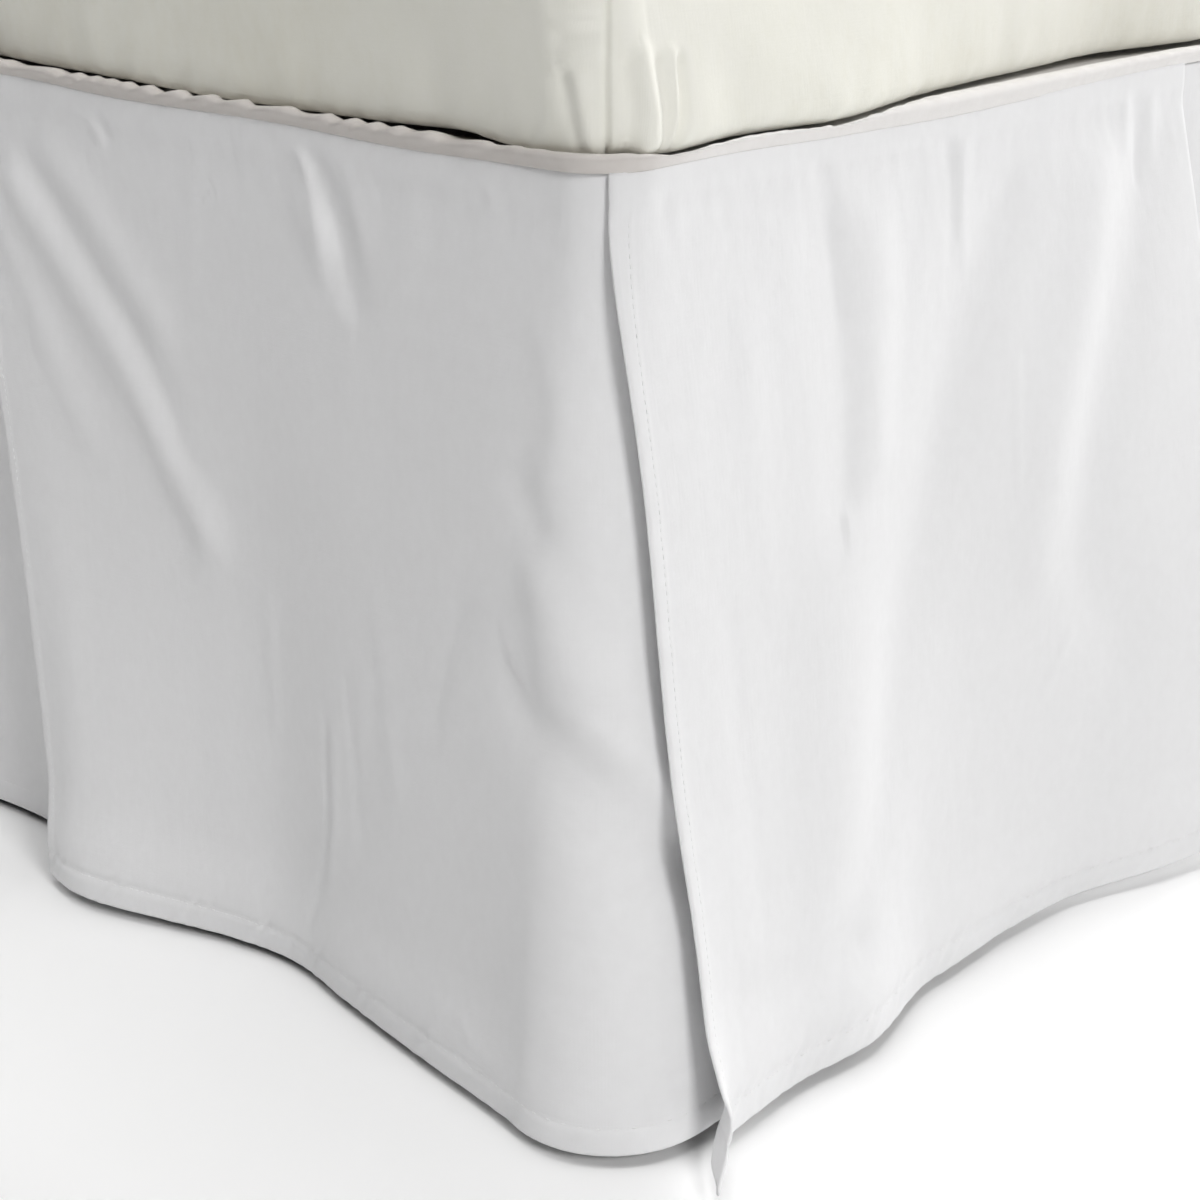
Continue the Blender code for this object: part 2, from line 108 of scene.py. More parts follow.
# A section of a panel, `at` metres from its free edge: how far it stands outside the rail
# half way down and at the hem, and how far the hem has slipped back from the free edge.
Section = namedtuple("Section", "at middle hem slip")

# A soft fold or crease: the line it follows, each point given as metres from the panel's free
# edge and metres below the seam, its height (a trough is negative), and its half width on the
# free edge's side and on the far side.
Fold = namedtuple("Fold", "path height width far")

CORNER_SIDE_SECTIONS = (
    Section(at=0.000, middle=0.017, hem=0.032, slip=0.065),
    Section(at=0.030, middle=0.017, hem=0.036, slip=0.060),
    Section(at=0.060, middle=0.014, hem=0.032, slip=0.052),
    Section(at=0.100, middle=0.010, hem=0.020, slip=0.045),
    Section(at=0.145, middle=0.006, hem=0.009, slip=0.032),
    Section(at=0.200, middle=0.003, hem=0.002, slip=0.018),
    Section(at=0.260, middle=0.006, hem=0.009, slip=0.006),
    Section(at=0.320, middle=0.009, hem=0.016, slip=0.000),
    Section(at=0.375, middle=0.012, hem=0.022, slip=0.000),
    Section(at=0.405, middle=0.013, hem=0.028, slip=0.000),
    Section(at=0.440, middle=0.011, hem=0.029, slip=0.000),
    Section(at=0.505, middle=0.008, hem=0.024, slip=0.000),
)
CORNER_FOOT_SECTIONS = (
    Section(at=0.000, middle=0.020, hem=0.046, slip=0.0),
    Section(at=0.012, middle=0.020, hem=0.0415, slip=0.0),
    Section(at=0.030, middle=0.020, hem=0.0385, slip=0.0),
    Section(at=0.070, middle=0.019, hem=0.037, slip=0.0),
    Section(at=0.115, middle=0.021, hem=0.042, slip=0.0),
    Section(at=0.165, middle=0.0155, hem=0.031, slip=0.0),
    Section(at=0.195, middle=0.015, hem=0.031, slip=0.0),
    Section(at=0.235, middle=0.020, hem=0.031, slip=0.0),
    Section(at=0.285, middle=0.027, hem=0.037, slip=0.0),
    Section(at=0.335, middle=0.035, hem=0.056, slip=0.0),
    Section(at=0.384, middle=0.042, hem=0.070, slip=0.0),
)
# How far the slit's edge has slipped along the foot `at` metres below the seam, and how far
# its very edge turns out there; `tip` is the lowest corner's own slip.
Slip = namedtuple("Slip", "at slip out tip", defaults=(0.0, 0.0))
SLIT_LINE = (
    Slip(0.010, 0.000), Slip(0.050, -0.003), Slip(0.120, 0.001), Slip(0.220, 0.003),
    Slip(0.290, 0.009), Slip(0.330, 0.010, 0.001), Slip(0.355, 0.008, 0.005),
    Slip(0.370, 0.005, 0.007, -0.005), Slip(0.381, 0.003, 0.011, -0.015),
)
BROAD_WAVE_SECTIONS = (
    Section(at=0.000, middle=0.015, hem=0.029, slip=0.040),
    Section(at=0.035, middle=0.016, hem=0.034, slip=0.034),
    Section(at=0.090, middle=0.011, hem=0.023, slip=0.024),
    Section(at=0.160, middle=0.006, hem=0.010, slip=0.014),
    Section(at=0.230, middle=0.006, hem=0.013, slip=0.006),
    Section(at=0.300, middle=0.009, hem=0.017, slip=0.000),
    Section(at=0.360, middle=0.005, hem=0.007, slip=0.000),
    Section(at=0.410, middle=-0.0025, hem=0.000, slip=0.000),
    Section(at=0.505, middle=-0.0030, hem=-0.001, slip=0.000),
)
DOUBLE_WAVE_SECTIONS = (
    Section(at=0.000, middle=0.014, hem=0.030, slip=0.030),
    Section(at=0.045, middle=0.015, hem=0.028, slip=0.026),
    Section(at=0.105, middle=0.008, hem=0.012, slip=0.018),
    Section(at=0.165, middle=0.009, hem=0.020, slip=0.010),
    Section(at=0.215, middle=0.011, hem=0.024, slip=0.006),
    Section(at=0.280, middle=0.005, hem=0.008, slip=0.002),
    Section(at=0.340, middle=0.006, hem=0.013, slip=0.000),
    Section(at=0.410, middle=0.000, hem=0.002, slip=0.000),
    Section(at=0.505, middle=-0.001, hem=0.000, slip=0.000),
)

# The folds that the solids have too.  The foot's last one, at the slit's lowest corner, is lower
# here, because SLIT_LINE turns that corner out as well.
CORNER_SIDE_FOLDS = (
    Fold(((0.069, 0.023), (0.104, 0.058), (0.141, 0.094)), 0.0022, 0.012, 0.012),
    Fold(((0.052, 0.036), (0.128, 0.107), (0.150, 0.150)), -0.0010, 0.009, 0.009),
    Fold(((0.043, 0.049), (0.113, 0.118), (0.160, 0.180)), 0.0030, 0.013, 0.013),
    Fold(((0.243, 0.014), (0.253, 0.030), (0.260, 0.045)), 0.0022, 0.009, 0.006),
    Fold(((0.258, 0.014), (0.270, 0.036), (0.275, 0.060)), -0.0022, 0.007, 0.011),
    Fold(((0.386, 0.150), (0.402, 0.186), (0.427, 0.240)), 0.0026, 0.012, 0.012),
    Fold(((0.380, 0.196), (0.406, 0.230), (0.424, 0.262)), -0.0030, 0.015, 0.008),
)
CORNER_FOOT_FOLDS = (
    Fold(((0.108, 0.010), (0.120, 0.050), (0.120, 0.105), (0.116, 0.140)),
         -0.0024, 0.018, 0.008),
    Fold(((0.141, 0.020), (0.144, 0.060), (0.140, 0.125)), 0.0018, 0.013, 0.013),
    Fold(((0.247, 0.018), (0.213, 0.078), (0.180, 0.148), (0.153, 0.211), (0.138, 0.278),
          (0.111, 0.328)), -0.0036, 0.022, 0.018),
    Fold(((0.308, 0.030), (0.295, 0.069), (0.265, 0.130), (0.251, 0.200)),
         0.0030, 0.018, 0.018),
    Fold(((0.351, 0.030), (0.317, 0.108), (0.294, 0.158), (0.287, 0.208), (0.312, 0.258)),
         -0.0034, 0.020, 0.018),
    Fold(((0.000, 0.362), (0.000, 0.381)), 0.005, 0.0065, 0.0065),
)
BROAD_WAVE_FOLDS = (
    Fold(((0.300, 0.030), (0.255, 0.130), (0.215, 0.260)), -0.0040, 0.028, 0.028),
    Fold(((0.120, 0.030), (0.135, 0.120), (0.150, 0.220)), 0.0034, 0.026, 0.026),
)
DOUBLE_WAVE_FOLDS = (
    Fold(((0.150, 0.050), (0.185, 0.140), (0.200, 0.260)), -0.0034, 0.028, 0.028),
    Fold(((0.315, 0.030), (0.290, 0.140), (0.270, 0.260)), 0.0036, 0.028, 0.028),
)

# Finer creases, only here.
CORNER_SIDE_CREASES = (
    Fold(((0.246, 0.002), (0.250, 0.012), (0.255, 0.026), (0.259, 0.036)), 0.0013, 0.0032, 0.0026),
    Fold(((0.252, 0.002), (0.261, 0.018), (0.270, 0.034)), -0.0012, 0.0036, 0.0050),
    Fold(((0.271, 0.006), (0.279, 0.022), (0.284, 0.040)), 0.0007, 0.0050, 0.0050),
    Fold(((0.246, 0.250), (0.242, 0.294), (0.231, 0.330), (0.218, 0.354)), -0.0009, 0.0030, 0.0030),
    Fold(((0.253, 0.250), (0.249, 0.294), (0.238, 0.330)), 0.0007, 0.0040, 0.0050),
    Fold(((0.266, 0.225), (0.270, 0.290)), -0.0005, 0.0040, 0.0050),
    Fold(((0.204, 0.205), (0.199, 0.262)), 0.0005, 0.0050, 0.0050),
    Fold(((0.342, 0.170), (0.326, 0.226)), -0.0006, 0.0060, 0.0050),
    Fold(((0.289, 0.180), (0.300, 0.260)), 0.0005, 0.0060, 0.0060),
    Fold(((0.402, 0.200), (0.414, 0.218), (0.428, 0.240)), 0.0012, 0.0060, 0.0030),
    Fold(((0.381, 0.060), (0.391, 0.085), (0.386, 0.110)), 0.0008, 0.0070, 0.0070),
    Fold(((0.372, 0.115), (0.392, 0.142), (0.402, 0.172)), -0.0009, 0.0080, 0.0080),
    Fold(((0.330, 0.352), (0.344, 0.350), (0.352, 0.356)), 0.0006, 0.0025, 0.0025),
    Fold(((0.338, 0.360), (0.352, 0.357), (0.364, 0.360)), 0.0005, 0.0022, 0.0022),
    Fold(((0.020, 0.060), (0.070, 0.150)), 0.0012, 0.0120, 0.0120),
    Fold(((0.100, 0.002), (0.112, 0.016)), 0.0008, 0.0050, 0.0040),
    Fold(((0.106, 0.002), (0.118, 0.018)), -0.0008, 0.0030, 0.0040),
)
CORNER_FOOT_CREASES = (
    Fold(((0.106, 0.003), (0.112, 0.010), (0.117, 0.022), (0.119, 0.040), (0.121, 0.070)),
         -0.0008, 0.0060, 0.0030),
    Fold(((0.183, 0.004), (0.196, 0.011), (0.199, 0.020), (0.199, 0.050)),
         -0.0010, 0.0060, 0.0028),
    Fold(((0.204, 0.018), (0.206, 0.060)), 0.0007, 0.0030, 0.0060),
    Fold(((0.238, 0.108), (0.237, 0.166)), 0.0005, 0.0022, 0.0022),
    Fold(((0.340, 0.004), (0.343, 0.020), (0.342, 0.046)), -0.0012, 0.0030, 0.0040),
    Fold(((0.310, 0.002), (0.336, 0.009)), -0.0007, 0.0022, 0.0030),
    Fold(((0.333, 0.003), (0.331, 0.030)), 0.0008, 0.0040, 0.0040),
    Fold(((0.355, 0.004), (0.353, 0.036)), 0.0009, 0.0050, 0.0050),
    Fold(((0.270, 0.247), (0.320, 0.222), (0.371, 0.200)), 0.0005, 0.0028, 0.0028),
    Fold(((0.257, 0.268), (0.275, 0.243)), 0.0005, 0.0026, 0.0026),
    Fold(((0.300, 0.300), (0.326, 0.276)), 0.0005, 0.0030, 0.0030),
    Fold(((0.030, 0.330), (0.070, 0.336), (0.111, 0.338)), -0.0014, 0.0120, 0.0120),
    Fold(((0.062, 0.060), (0.066, 0.170)), 0.0006, 0.0090, 0.0090),
    Fold(((0.040, 0.170), (0.046, 0.300)), -0.0007, 0.0080, 0.0080),
)
FAR_CREASES_A = (
    Fold(((0.212, 0.002), (0.220, 0.022), (0.224, 0.050)), 0.0012, 0.006, 0.005),
    Fold(((0.322, 0.004), (0.318, 0.040)), -0.0011, 0.005, 0.006),
    Fold(((0.196, 0.240), (0.188, 0.330)), -0.0009, 0.006, 0.006),
    Fold(((0.062, 0.060), (0.090, 0.190)), 0.0012, 0.010, 0.010),
)
FAR_CREASES_B = (
    Fold(((0.130, 0.002), (0.139, 0.026), (0.142, 0.060)), -0.0012, 0.006, 0.007),
    Fold(((0.262, 0.004), (0.257, 0.046)), 0.0012, 0.006, 0.005),
    Fold(((0.236, 0.200), (0.246, 0.320)), 0.0010, 0.008, 0.006),
    Fold(((0.078, 0.130), (0.066, 0.260)), 0.0010, 0.010, 0.009),
)

# The form of one panel: its sections, the folds that lie over them, and its finer creases.
Pattern = namedtuple("Pattern", "sections folds creases")

CORNER_SIDE = Pattern(CORNER_SIDE_SECTIONS, CORNER_SIDE_FOLDS, CORNER_SIDE_CREASES)
FAR_CORNER_SIDE = Pattern(CORNER_SIDE_SECTIONS, BROAD_WAVE_FOLDS, FAR_CREASES_A)
CORNER_FOOT = Pattern(CORNER_FOOT_SECTIONS, CORNER_FOOT_FOLDS, CORNER_FOOT_CREASES)
BROAD_WAVE = Pattern(BROAD_WAVE_SECTIONS, BROAD_WAVE_FOLDS, FAR_CREASES_A)
DOUBLE_WAVE = Pattern(DOUBLE_WAVE_SECTIONS, DOUBLE_WAVE_FOLDS, FAR_CREASES_B)

Panel = namedtuple("Panel", "name edge way cut lap form strength straight near seed")

# How far the seam stands above its own level, `at` metres from the near corner.
Rise = namedtuple("Rise", "at lift")

LEFT_SEAM = (
    Rise(0.000, 0.0010), Rise(0.040, 0.0005), Rise(0.100, -0.0005), Rise(0.170, 0.0010),
    Rise(0.280, 0.0000), Rise(0.350, 0.0020), Rise(0.520, 0.0000),
)
FOOT_SEAM = (
    Rise(0.000, 0.0010), Rise(0.060, 0.0015), Rise(0.120, 0.0000), Rise(0.210, -0.0010),
    Rise(0.300, 0.0010), Rise(0.380, 0.0020), Rise(0.480, 0.0000),
)


# --- curves ----------------------------------------------------------------------------------

def smooth_step(value):
    value = np.clip(value, 0.0, 1.0)
    return value * value * (3 - 2 * value)


def bell(value, width):
    return np.exp(-(value / width) ** 2)


def curve_weights(places, at):
    """How much each value given at `places` counts in a smooth curve through them, at `at`."""
    places = np.asarray(places)
    last = len(places) - 1
    index = np.arange(last + 1)
    low, high = np.maximum(index - 1, 0), np.minimum(index + 1, last)
    unit = np.eye(last + 1)
    slopes = (unit[high] - unit[low]) / (places[high] - places[low])[:, None]
    at = np.clip(at, places[0], places[-1])
    k = np.clip(np.searchsorted(places, at, side="right") - 1, 0, last - 1)
    width = (places[k + 1] - places[k])[..., None]
    t = (at - places[k])[..., None] / width
    rise = unit[k + 1] - unit[k]
    bend_low = slopes[k] * width - rise
    bend_high = rise - slopes[k + 1] * width
    return unit[k] + t * rise + t * (1 - t) * (bend_low * (1 - t) + bend_high * t)


def between(rows, at, column):
    """A smooth curve through one column of a table whose first column is `at`."""
    values = np.array([getattr(row, column) for row in rows])
    return curve_weights([row.at for row in rows], at) @ values


def ripple(place, seed, wave, parts=5):
    """A smooth uneven wave of about the given wavelength, between -1 and 1."""
    total = np.zeros_like(place)
    for i in range(parts):
        pace = 0.55 + 0.31 * i + 0.07 * math.sin(seed * 3.1 + i * 1.7)
        total += np.sin(2 * math.pi * place / wave * pace + seed * 2.39 + i * 4.11)
    return total / parts ** 0.5 / 1.4


def rail_point(run, reach):
    """Plan position `run` metres along the seam and `reach` metres outside it."""
    mirrored = run > FOOT_MIDDLE
    near = np.where(mirrored, RAIL_RUN - run, run)
    turn = np.clip((near - SIDE_RUN) / CORNER_RADIUS, 0, math.pi / 2)
    before = np.minimum(near - SIDE_RUN, 0)
    after = np.maximum(near - SIDE_RUN - CORNER_RUN, 0)
    radius = CORNER_RADIUS + reach
    x = -BED_WIDTH / 2 + CORNER_RADIUS - radius * np.cos(turn) + after
    y = -BED_LENGTH / 2 + CORNER_RADIUS - radius * np.sin(turn) - before
    return np.where(mirrored, -x, x), y


def seam_rise(run):
    """How far the seam stands above its own level at a run along the rail."""
    left = between(LEFT_SEAM, np.maximum(LEFT_CORNER - run, 0.0), "lift")
    foot = between(FOOT_SEAM, np.maximum(run - LEFT_CORNER, 0.0), "lift")
    far = 0.0006 * ripple(run, 5.0, 0.09)
    share = smooth_step((np.abs(run - LEFT_CORNER) - 0.40) / 0.10)
    return np.where(run < LEFT_CORNER, left, foot) * (1 - share) + far * share


def fold_lift(folds, at, drop):
    """How far a set of folds lifts the cloth."""
    lift = np.zeros_like(at)
    for fold in folds:
        nearest = np.full_like(at, 9.0)
        width = np.full_like(at, fold.width)
        for (a0, d0), (a1, d1) in zip(fold.path, fold.path[1:]):
            run, fall = a1 - a0, d1 - d0
            along = ((at - a0) * run + (drop - d0) * fall) / (run * run + fall * fall)
            along = np.clip(along, 0, 1)
            gap = np.hypot(at - a0 - along * run, drop - d0 - along * fall)
            side = run * (drop - d0) - fall * (at - a0)
            closer = gap < nearest
            width = np.where(closer, np.where(side > 0, fold.width, fold.far), width)
            nearest = np.where(closer, gap, nearest)
        lift += fold.height * bell(nearest, width)
    return lift


# --- the skirt's panels ----------------------------------------------------------------------

def lapped_share(panel, at):
    if not panel.lap:
        return np.zeros_like(at)
    return smooth_step((at - panel.cut + panel.lap + LAP_BLEND) / LAP_BLEND)


def fine_lift(panel, at, drop, free):
    """Seam band, puckers, drape lines and hem ripples, all finer than the solid's folds."""
    seed = panel.seed
    below = smooth_step((drop - 0.004) / 0.012)
    band = 0.0012 * (1 - np.exp(-drop / 0.0040)) * (1 - smooth_step((drop - 0.009) / 0.010))
    gather = 0.00030 * ripple(at - 0.25 * drop, seed, 0.017) * np.exp(-drop / 0.022) * below
    gather += 0.00020 * ripple(at + 0.20 * drop, seed + 7, 0.031) * np.exp(-drop / 0.060) * below
    drape = 0.00011 * ripple(at + 0.10 * drop + 0.006 * np.sin(drop * 17 + seed), seed + 3, 0.052)
    drape += 0.00004 * ripple(at - 0.06 * drop, seed + 11, 0.019) * (0.6 + 0.4 * np.sin(drop * 23))
    drape *= smooth_step((drop - 0.02) / 0.08)
    from_hem = drop - (DROP - BOTTOM_HEM)
    slant = at + 0.95 * from_hem + 0.004 * np.sin(at * 23 + seed)
    ruck = 0.00050 * ripple(slant, seed + 5, 0.0125, 4)
    ruck *= np.where(from_hem > 0, bell(from_hem - 0.003, 0.010), bell(from_hem, 0.007))
    edge = 0.00020 * ripple(drop + 0.4 * at, seed + 9, 0.016, 3) * bell(at - SIDE_HEM, 0.006)
    hem_line = -0.00050 * bell(from_hem, 0.0016)
    return (band + gather + drape + ruck + edge + hem_line) * (0.35 + 0.65 * free)


def wave_reach(panel, at, drop, down):
    """Reach of a panel given by its middle and hem, and the reach of its hem."""
    lapped = lapped_share(panel, at)
    top = OVER + (UNDER - OVER) * lapped
    flick = FLICK * (1 - lapped)
    middle = panel.strength * between(panel.form.sections, at, "middle") - top
    hem = panel.strength * between(panel.form.sections, at, "hem") - top
    body = hem - flick
    reach = top + down * (4 * middle - body) + down * down * (2 * body - 4 * middle)
    reach += flick * smooth_step((drop - FLICK_DROP) / (HEM_DROP - FLICK_DROP))
    fade = smooth_step((drop - SEAM_BAND) / FOLD_FADE)
    return reach + panel.strength * fold_lift(panel.form.folds, at, drop) * fade, hem + top


def straight_point(at, drop, reach):
    """Plan position on the panel that hangs straight below the rail's round corner."""
    along = STRAIGHT_START + at
    inside = np.maximum(CORNER_RADIUS - along, 0.0)
    out = np.sqrt(CORNER_RADIUS ** 2 - inside ** 2)
    slip = between(SLIT_LINE, drop, "slip") * bell(at, EDGE_SLIP_FADE)
    slip += between(SLIT_LINE, drop, "tip") * np.maximum(1 - at / TIP_SLIP, 0.0) ** 1.6
    back = (CORNER_RADIUS - out) * bell(drop, ARC_FADE)
    turned = bell(drop, TURN_FADE)
    aside = reach * turned * inside / CORNER_RADIUS
    ahead = reach * (1 - turned + turned * out / CORNER_RADIUS)
    return -BED_WIDTH / 2 + along + slip - aside, -BED_LENGTH / 2 + back - ahead


def hang(panel, at, drop):
    """The middle surface of a panel: points `at` along its cut edge, `drop` below the seam."""
    down = np.maximum(drop - SEAM_BAND, 0.0) / (DROP - SEAM_BAND)
    reach, hem = wave_reach(panel, at, drop, down)
    if panel.straight:
        reach += between(SLIT_LINE, drop, "out") * np.maximum(1 - at / TIP_ACROSS, 0.0) ** 1.3
    reach += fold_lift(panel.form.creases, at, drop) * smooth_step((drop - 0.004) / 0.010)
    reach += fine_lift(panel, at, drop, 1 - lapped_share(panel, at))
    behind = LAP_BEHIND * smooth_step((at - LAP_START) / 0.020) if panel.straight else 0.0
    sunk = np.minimum(reach + DEEPEST - behind - SINK_ROOM, 0.0)
    reach += SINK_ROOM * (np.exp(sunk / SINK_ROOM) - 1) - sunk
    slip = between(panel.form.sections, at, "slip") * (1 - np.maximum(1 - down, 0.0) ** SIDE_HASTE)
    run = panel.edge + panel.way * (at + slip)
    x, y = straight_point(at, drop, reach) if panel.straight else rail_point(run, reach)
    slope = hem / DROP
    z = SEAM_Z - drop * np.sqrt(1 - slope * slope) + seam_rise(run) * np.exp(-drop / 0.016)
    return np.stack([x, y, z], axis=-1)


def stations(total, step, marks, fine=None, fine_reach=0.0):
    """Even steps over a length, closer near its marks and, if asked, near both ends."""
    places = list(np.linspace(0, total, max(2, round(total / step) + 1)))
    if fine:
        places += list(np.arange(0, fine_reach, fine))
        places += list(np.arange(total, total - fine_reach, -fine))
    near_marks = [mark + shift for mark in marks for shift in (-0.0011, -0.0003, 0.0003, 0.0011)]
    kept = [p for p in places if all(abs(p - m) > 0.0006 for m in near_marks) or p in (0, total)]
    places = sorted(set(round(p, 6) for p in kept + near_marks if 0 <= p <= total))
    merged = [places[0]]
    for place in places[1:]:
        if place - merged[-1] > 0.00045:
            merged.append(place)
    merged[-1] = total
    return np.array(merged)


def grid_normals(points):
    """Unit normals of a grid of points, by central differences."""
    along = np.gradient(points, axis=0)
    across = np.gradient(points, axis=1)
    normal = np.cross(along, across)
    return normal / np.linalg.norm(normal, axis=-1, keepdims=True)


def grid_faces(columns, rows, offset, flip):
    """Quads of a grid whose vertices run row by row within each column."""
    c, r = np.meshgrid(np.arange(columns - 1), np.arange(rows - 1), indexing="ij")
    a = offset + c * rows + r
    quad = np.stack([a, a + 1, a + rows + 1, a + rows], axis=-1).reshape(-1, 4)
    return quad[:, ::-1] if flip else quad


def make_mesh(name, points, faces, uv, material, smooth=True):
    """An object from arrays of points and quads, with one UV map."""
    mesh = bpy.data.meshes.new(name)
    mesh.from_pydata(points.tolist(), [], [tuple(face) for face in faces])
    layer = mesh.uv_layers.new(name="cloth")
    loops = np.zeros(len(mesh.loops), dtype=np.int32)
    mesh.loops.foreach_get("vertex_index", loops)
    layer.data.foreach_set("uv", np.asarray(uv, dtype=np.float32)[loops].ravel())
    mesh.polygons.foreach_set("use_smooth", [smooth] * len(mesh.polygons))
    mesh.materials.append(material)
    mesh.update()
    placed = bpy.data.objects.new(name, mesh)
    bpy.context.scene.collection.objects.link(placed)
    return placed


def closed_cloth(name, middle, half, uv, material, outward):
    """A closed thin sheet round a grid of points, its edges rounded."""
    columns, rows = middle.shape[:2]
    normal = grid_normals(middle)
    flip = np.sum(normal * outward) < 0
    if flip:
        normal = -normal
    outer = middle + normal * half[..., None]
    inner = middle - normal * half[..., None]
    count = columns * rows
    border = ([(c, 0) for c in range(columns)] + [(columns - 1, r) for r in range(1, rows)]
              + [(c, rows - 1) for c in range(columns - 2, -1, -1)]
              + [(0, r) for r in range(rows - 2, 0, -1)])
    rim = []
    for c, r in border:
        inward_c = 1 if c == 0 else (-1 if c == columns - 1 else 0)
        inward_r = 1 if r == 0 else (-1 if r == rows - 1 else 0)
        away = middle[c, r] - middle[c + inward_c, r + inward_r]
        away = away / (np.linalg.norm(away) + 1e-12)
        rim.append(middle[c, r] + away * half[c, r] * 0.85)
    points = np.concatenate([outer.reshape(-1, 3), inner.reshape(-1, 3), np.array(rim)])
    faces = [grid_faces(columns, rows, 0, not flip), grid_faces(columns, rows, count, flip)]
    edge = np.array([c * rows + r for c, r in border])
    ahead = np.roll(edge, -1)
    rim_ids = 2 * count + np.arange(len(border))
    rim_ahead = np.roll(rim_ids, -1)
    upper = np.stack([edge, ahead, rim_ahead, rim_ids], axis=-1)
    lower = np.stack([rim_ids, rim_ahead, ahead + count, edge + count], axis=-1)
    if not flip:
        upper, lower = upper[:, ::-1], lower[:, ::-1]
    faces += [upper, lower]
    flat = uv.reshape(-1, 2)
    rim_uv = flat[edge]
    made = make_mesh(name, points, np.concatenate(faces), np.concatenate([flat, flat, rim_uv]),
                     material)
    return made


def stitch_marks(start, end, pitch):
    count = int((end - start) / pitch)
    return start + pitch * (0.5 + np.arange(count))


def stitch_mesh(name, middles, directions, normals, material):
    """Short threads lying on the cloth, each a small spindle."""
    across = np.cross(normals, directions)
    long, wide, high = STITCH_LENGTH / 2, STITCH_WIDTH / 2, STITCH_WIDTH * 0.42
    corners = [
        middles - directions * long - normals * high * 0.6,
        middles - directions * long * 0.55 + across * wide,
        middles - directions * long * 0.55 + normals * high,
        middles - directions * long * 0.55 - across * wide,
        middles + directions * long * 0.55 + across * wide,
        middles + directions * long * 0.55 + normals * high,
        middles + directions * long * 0.55 - across * wide,
        middles + directions * long - normals * high * 0.6,
    ]
    points = np.stack(corners, axis=1).reshape(-1, 3)
    shape = [(0, 2, 1), (0, 3, 2), (1, 2, 5, 4), (2, 3, 6, 5), (7, 4, 5), (7, 5, 6),
             (1, 4, 6, 3), (0, 1, 3), (7, 6, 4)]
    faces = [tuple(8 * i + k for k in face) for i in range(len(middles)) for face in shape]
    uv = np.repeat(np.arange(len(middles)), 8)[:, None] * np.array([[0.01, 0.013]])
    return make_mesh(name, points, faces, uv % 1.0, material)


def seam_threads(panel, normal_way, material):
    """The stitches of a panel's bottom hem and of the hem at its free edge."""
    hem_at = stitch_marks(0.004, panel.cut - 0.004, STITCH_PITCH)
    edge_drop = stitch_marks(0.016, DROP - BOTTOM_HEM - 0.002, STITCH_PITCH)
    at = np.concatenate([hem_at, np.full_like(edge_drop, SIDE_HEM - STITCH_INSET)])
    drop = np.concatenate([np.full_like(hem_at, DROP - BOTTOM_HEM + STITCH_INSET), edge_drop])
    step = 0.0008
    place = hang(panel, at, drop)
    by_at = hang(panel, at + step, drop) - hang(panel, at - step, drop)
    by_drop = hang(panel, at, drop + step) - hang(panel, at, drop - step)
    by_at /= np.linalg.norm(by_at, axis=1, keepdims=True)
    by_drop /= np.linalg.norm(by_drop, axis=1, keepdims=True)
    normal = np.cross(by_drop, by_at) * normal_way
    normal /= np.linalg.norm(normal, axis=1, keepdims=True)
    along = np.where((np.arange(len(at)) < len(hem_at))[:, None], by_at, by_drop)
    half = cloth_half(panel, at, drop)
    return stitch_mesh(panel.name + "_stitches", place + normal * half[:, None], along, normal,
                       material)


def cloth_half(panel, at, drop):
    """Half of the cloth's thickness: more where it is turned in as a hem, less in its stitching."""
    side = 1 - smooth_step((at - SIDE_HEM + 0.0005) / 0.0010)
    bottom = smooth_step((drop - DROP + BOTTOM_HEM + 0.0005) / 0.0010)
    half = SHEET_THICK / 2 + HEM_EXTRA / 2 * np.maximum(side, bottom)
    across = bell(at - SIDE_HEM + STITCH_INSET, 0.0007) * (drop < DROP - BOTTOM_HEM)
    line = np.maximum(0.55 * across, bell(drop - DROP + BOTTOM_HEM - STITCH_INSET, 0.0009))
    return half - STITCH_DENT * line


def drop_panel(panel, material, thread):
    marks = (SIDE_HEM - 0.0008,)
    hem_marks = (DROP - BOTTOM_HEM + 0.0008,)
    if panel.near:
        at = stations(panel.cut, NEAR_COLUMN, marks)
        drop = stations(DROP, NEAR_ROW, hem_marks, 0.0015, 0.018)
    else:
        at = stations(panel.cut, FAR_COLUMN, marks)
        drop = stations(DROP, FAR_ROW, hem_marks, EDGE_ROW, 0.026)
    a, d = np.meshgrid(at, drop, indexing="ij")
    middle = hang(panel, a, d)
    plan_x, plan_y = rail_point(panel.edge + panel.way * a, 0.01)
    base_x, base_y = rail_point(panel.edge + panel.way * a, 0.0)
    outward = np.stack([plan_x - base_x, plan_y - base_y, np.zeros_like(a)], axis=-1)
    uv = np.stack([a + panel.seed * 0.613, DROP - d], axis=-1)
    cloth = closed_cloth(panel.name, middle, cloth_half(panel, a, d), uv, material, outward)
    threads = seam_threads(panel, 1.0 if panel.way > 0 else -1.0, thread)
    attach(cloth, "root")
    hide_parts(panel.name.replace("cloth_", "skirt_"))
    threads.parent = cloth
    return cloth


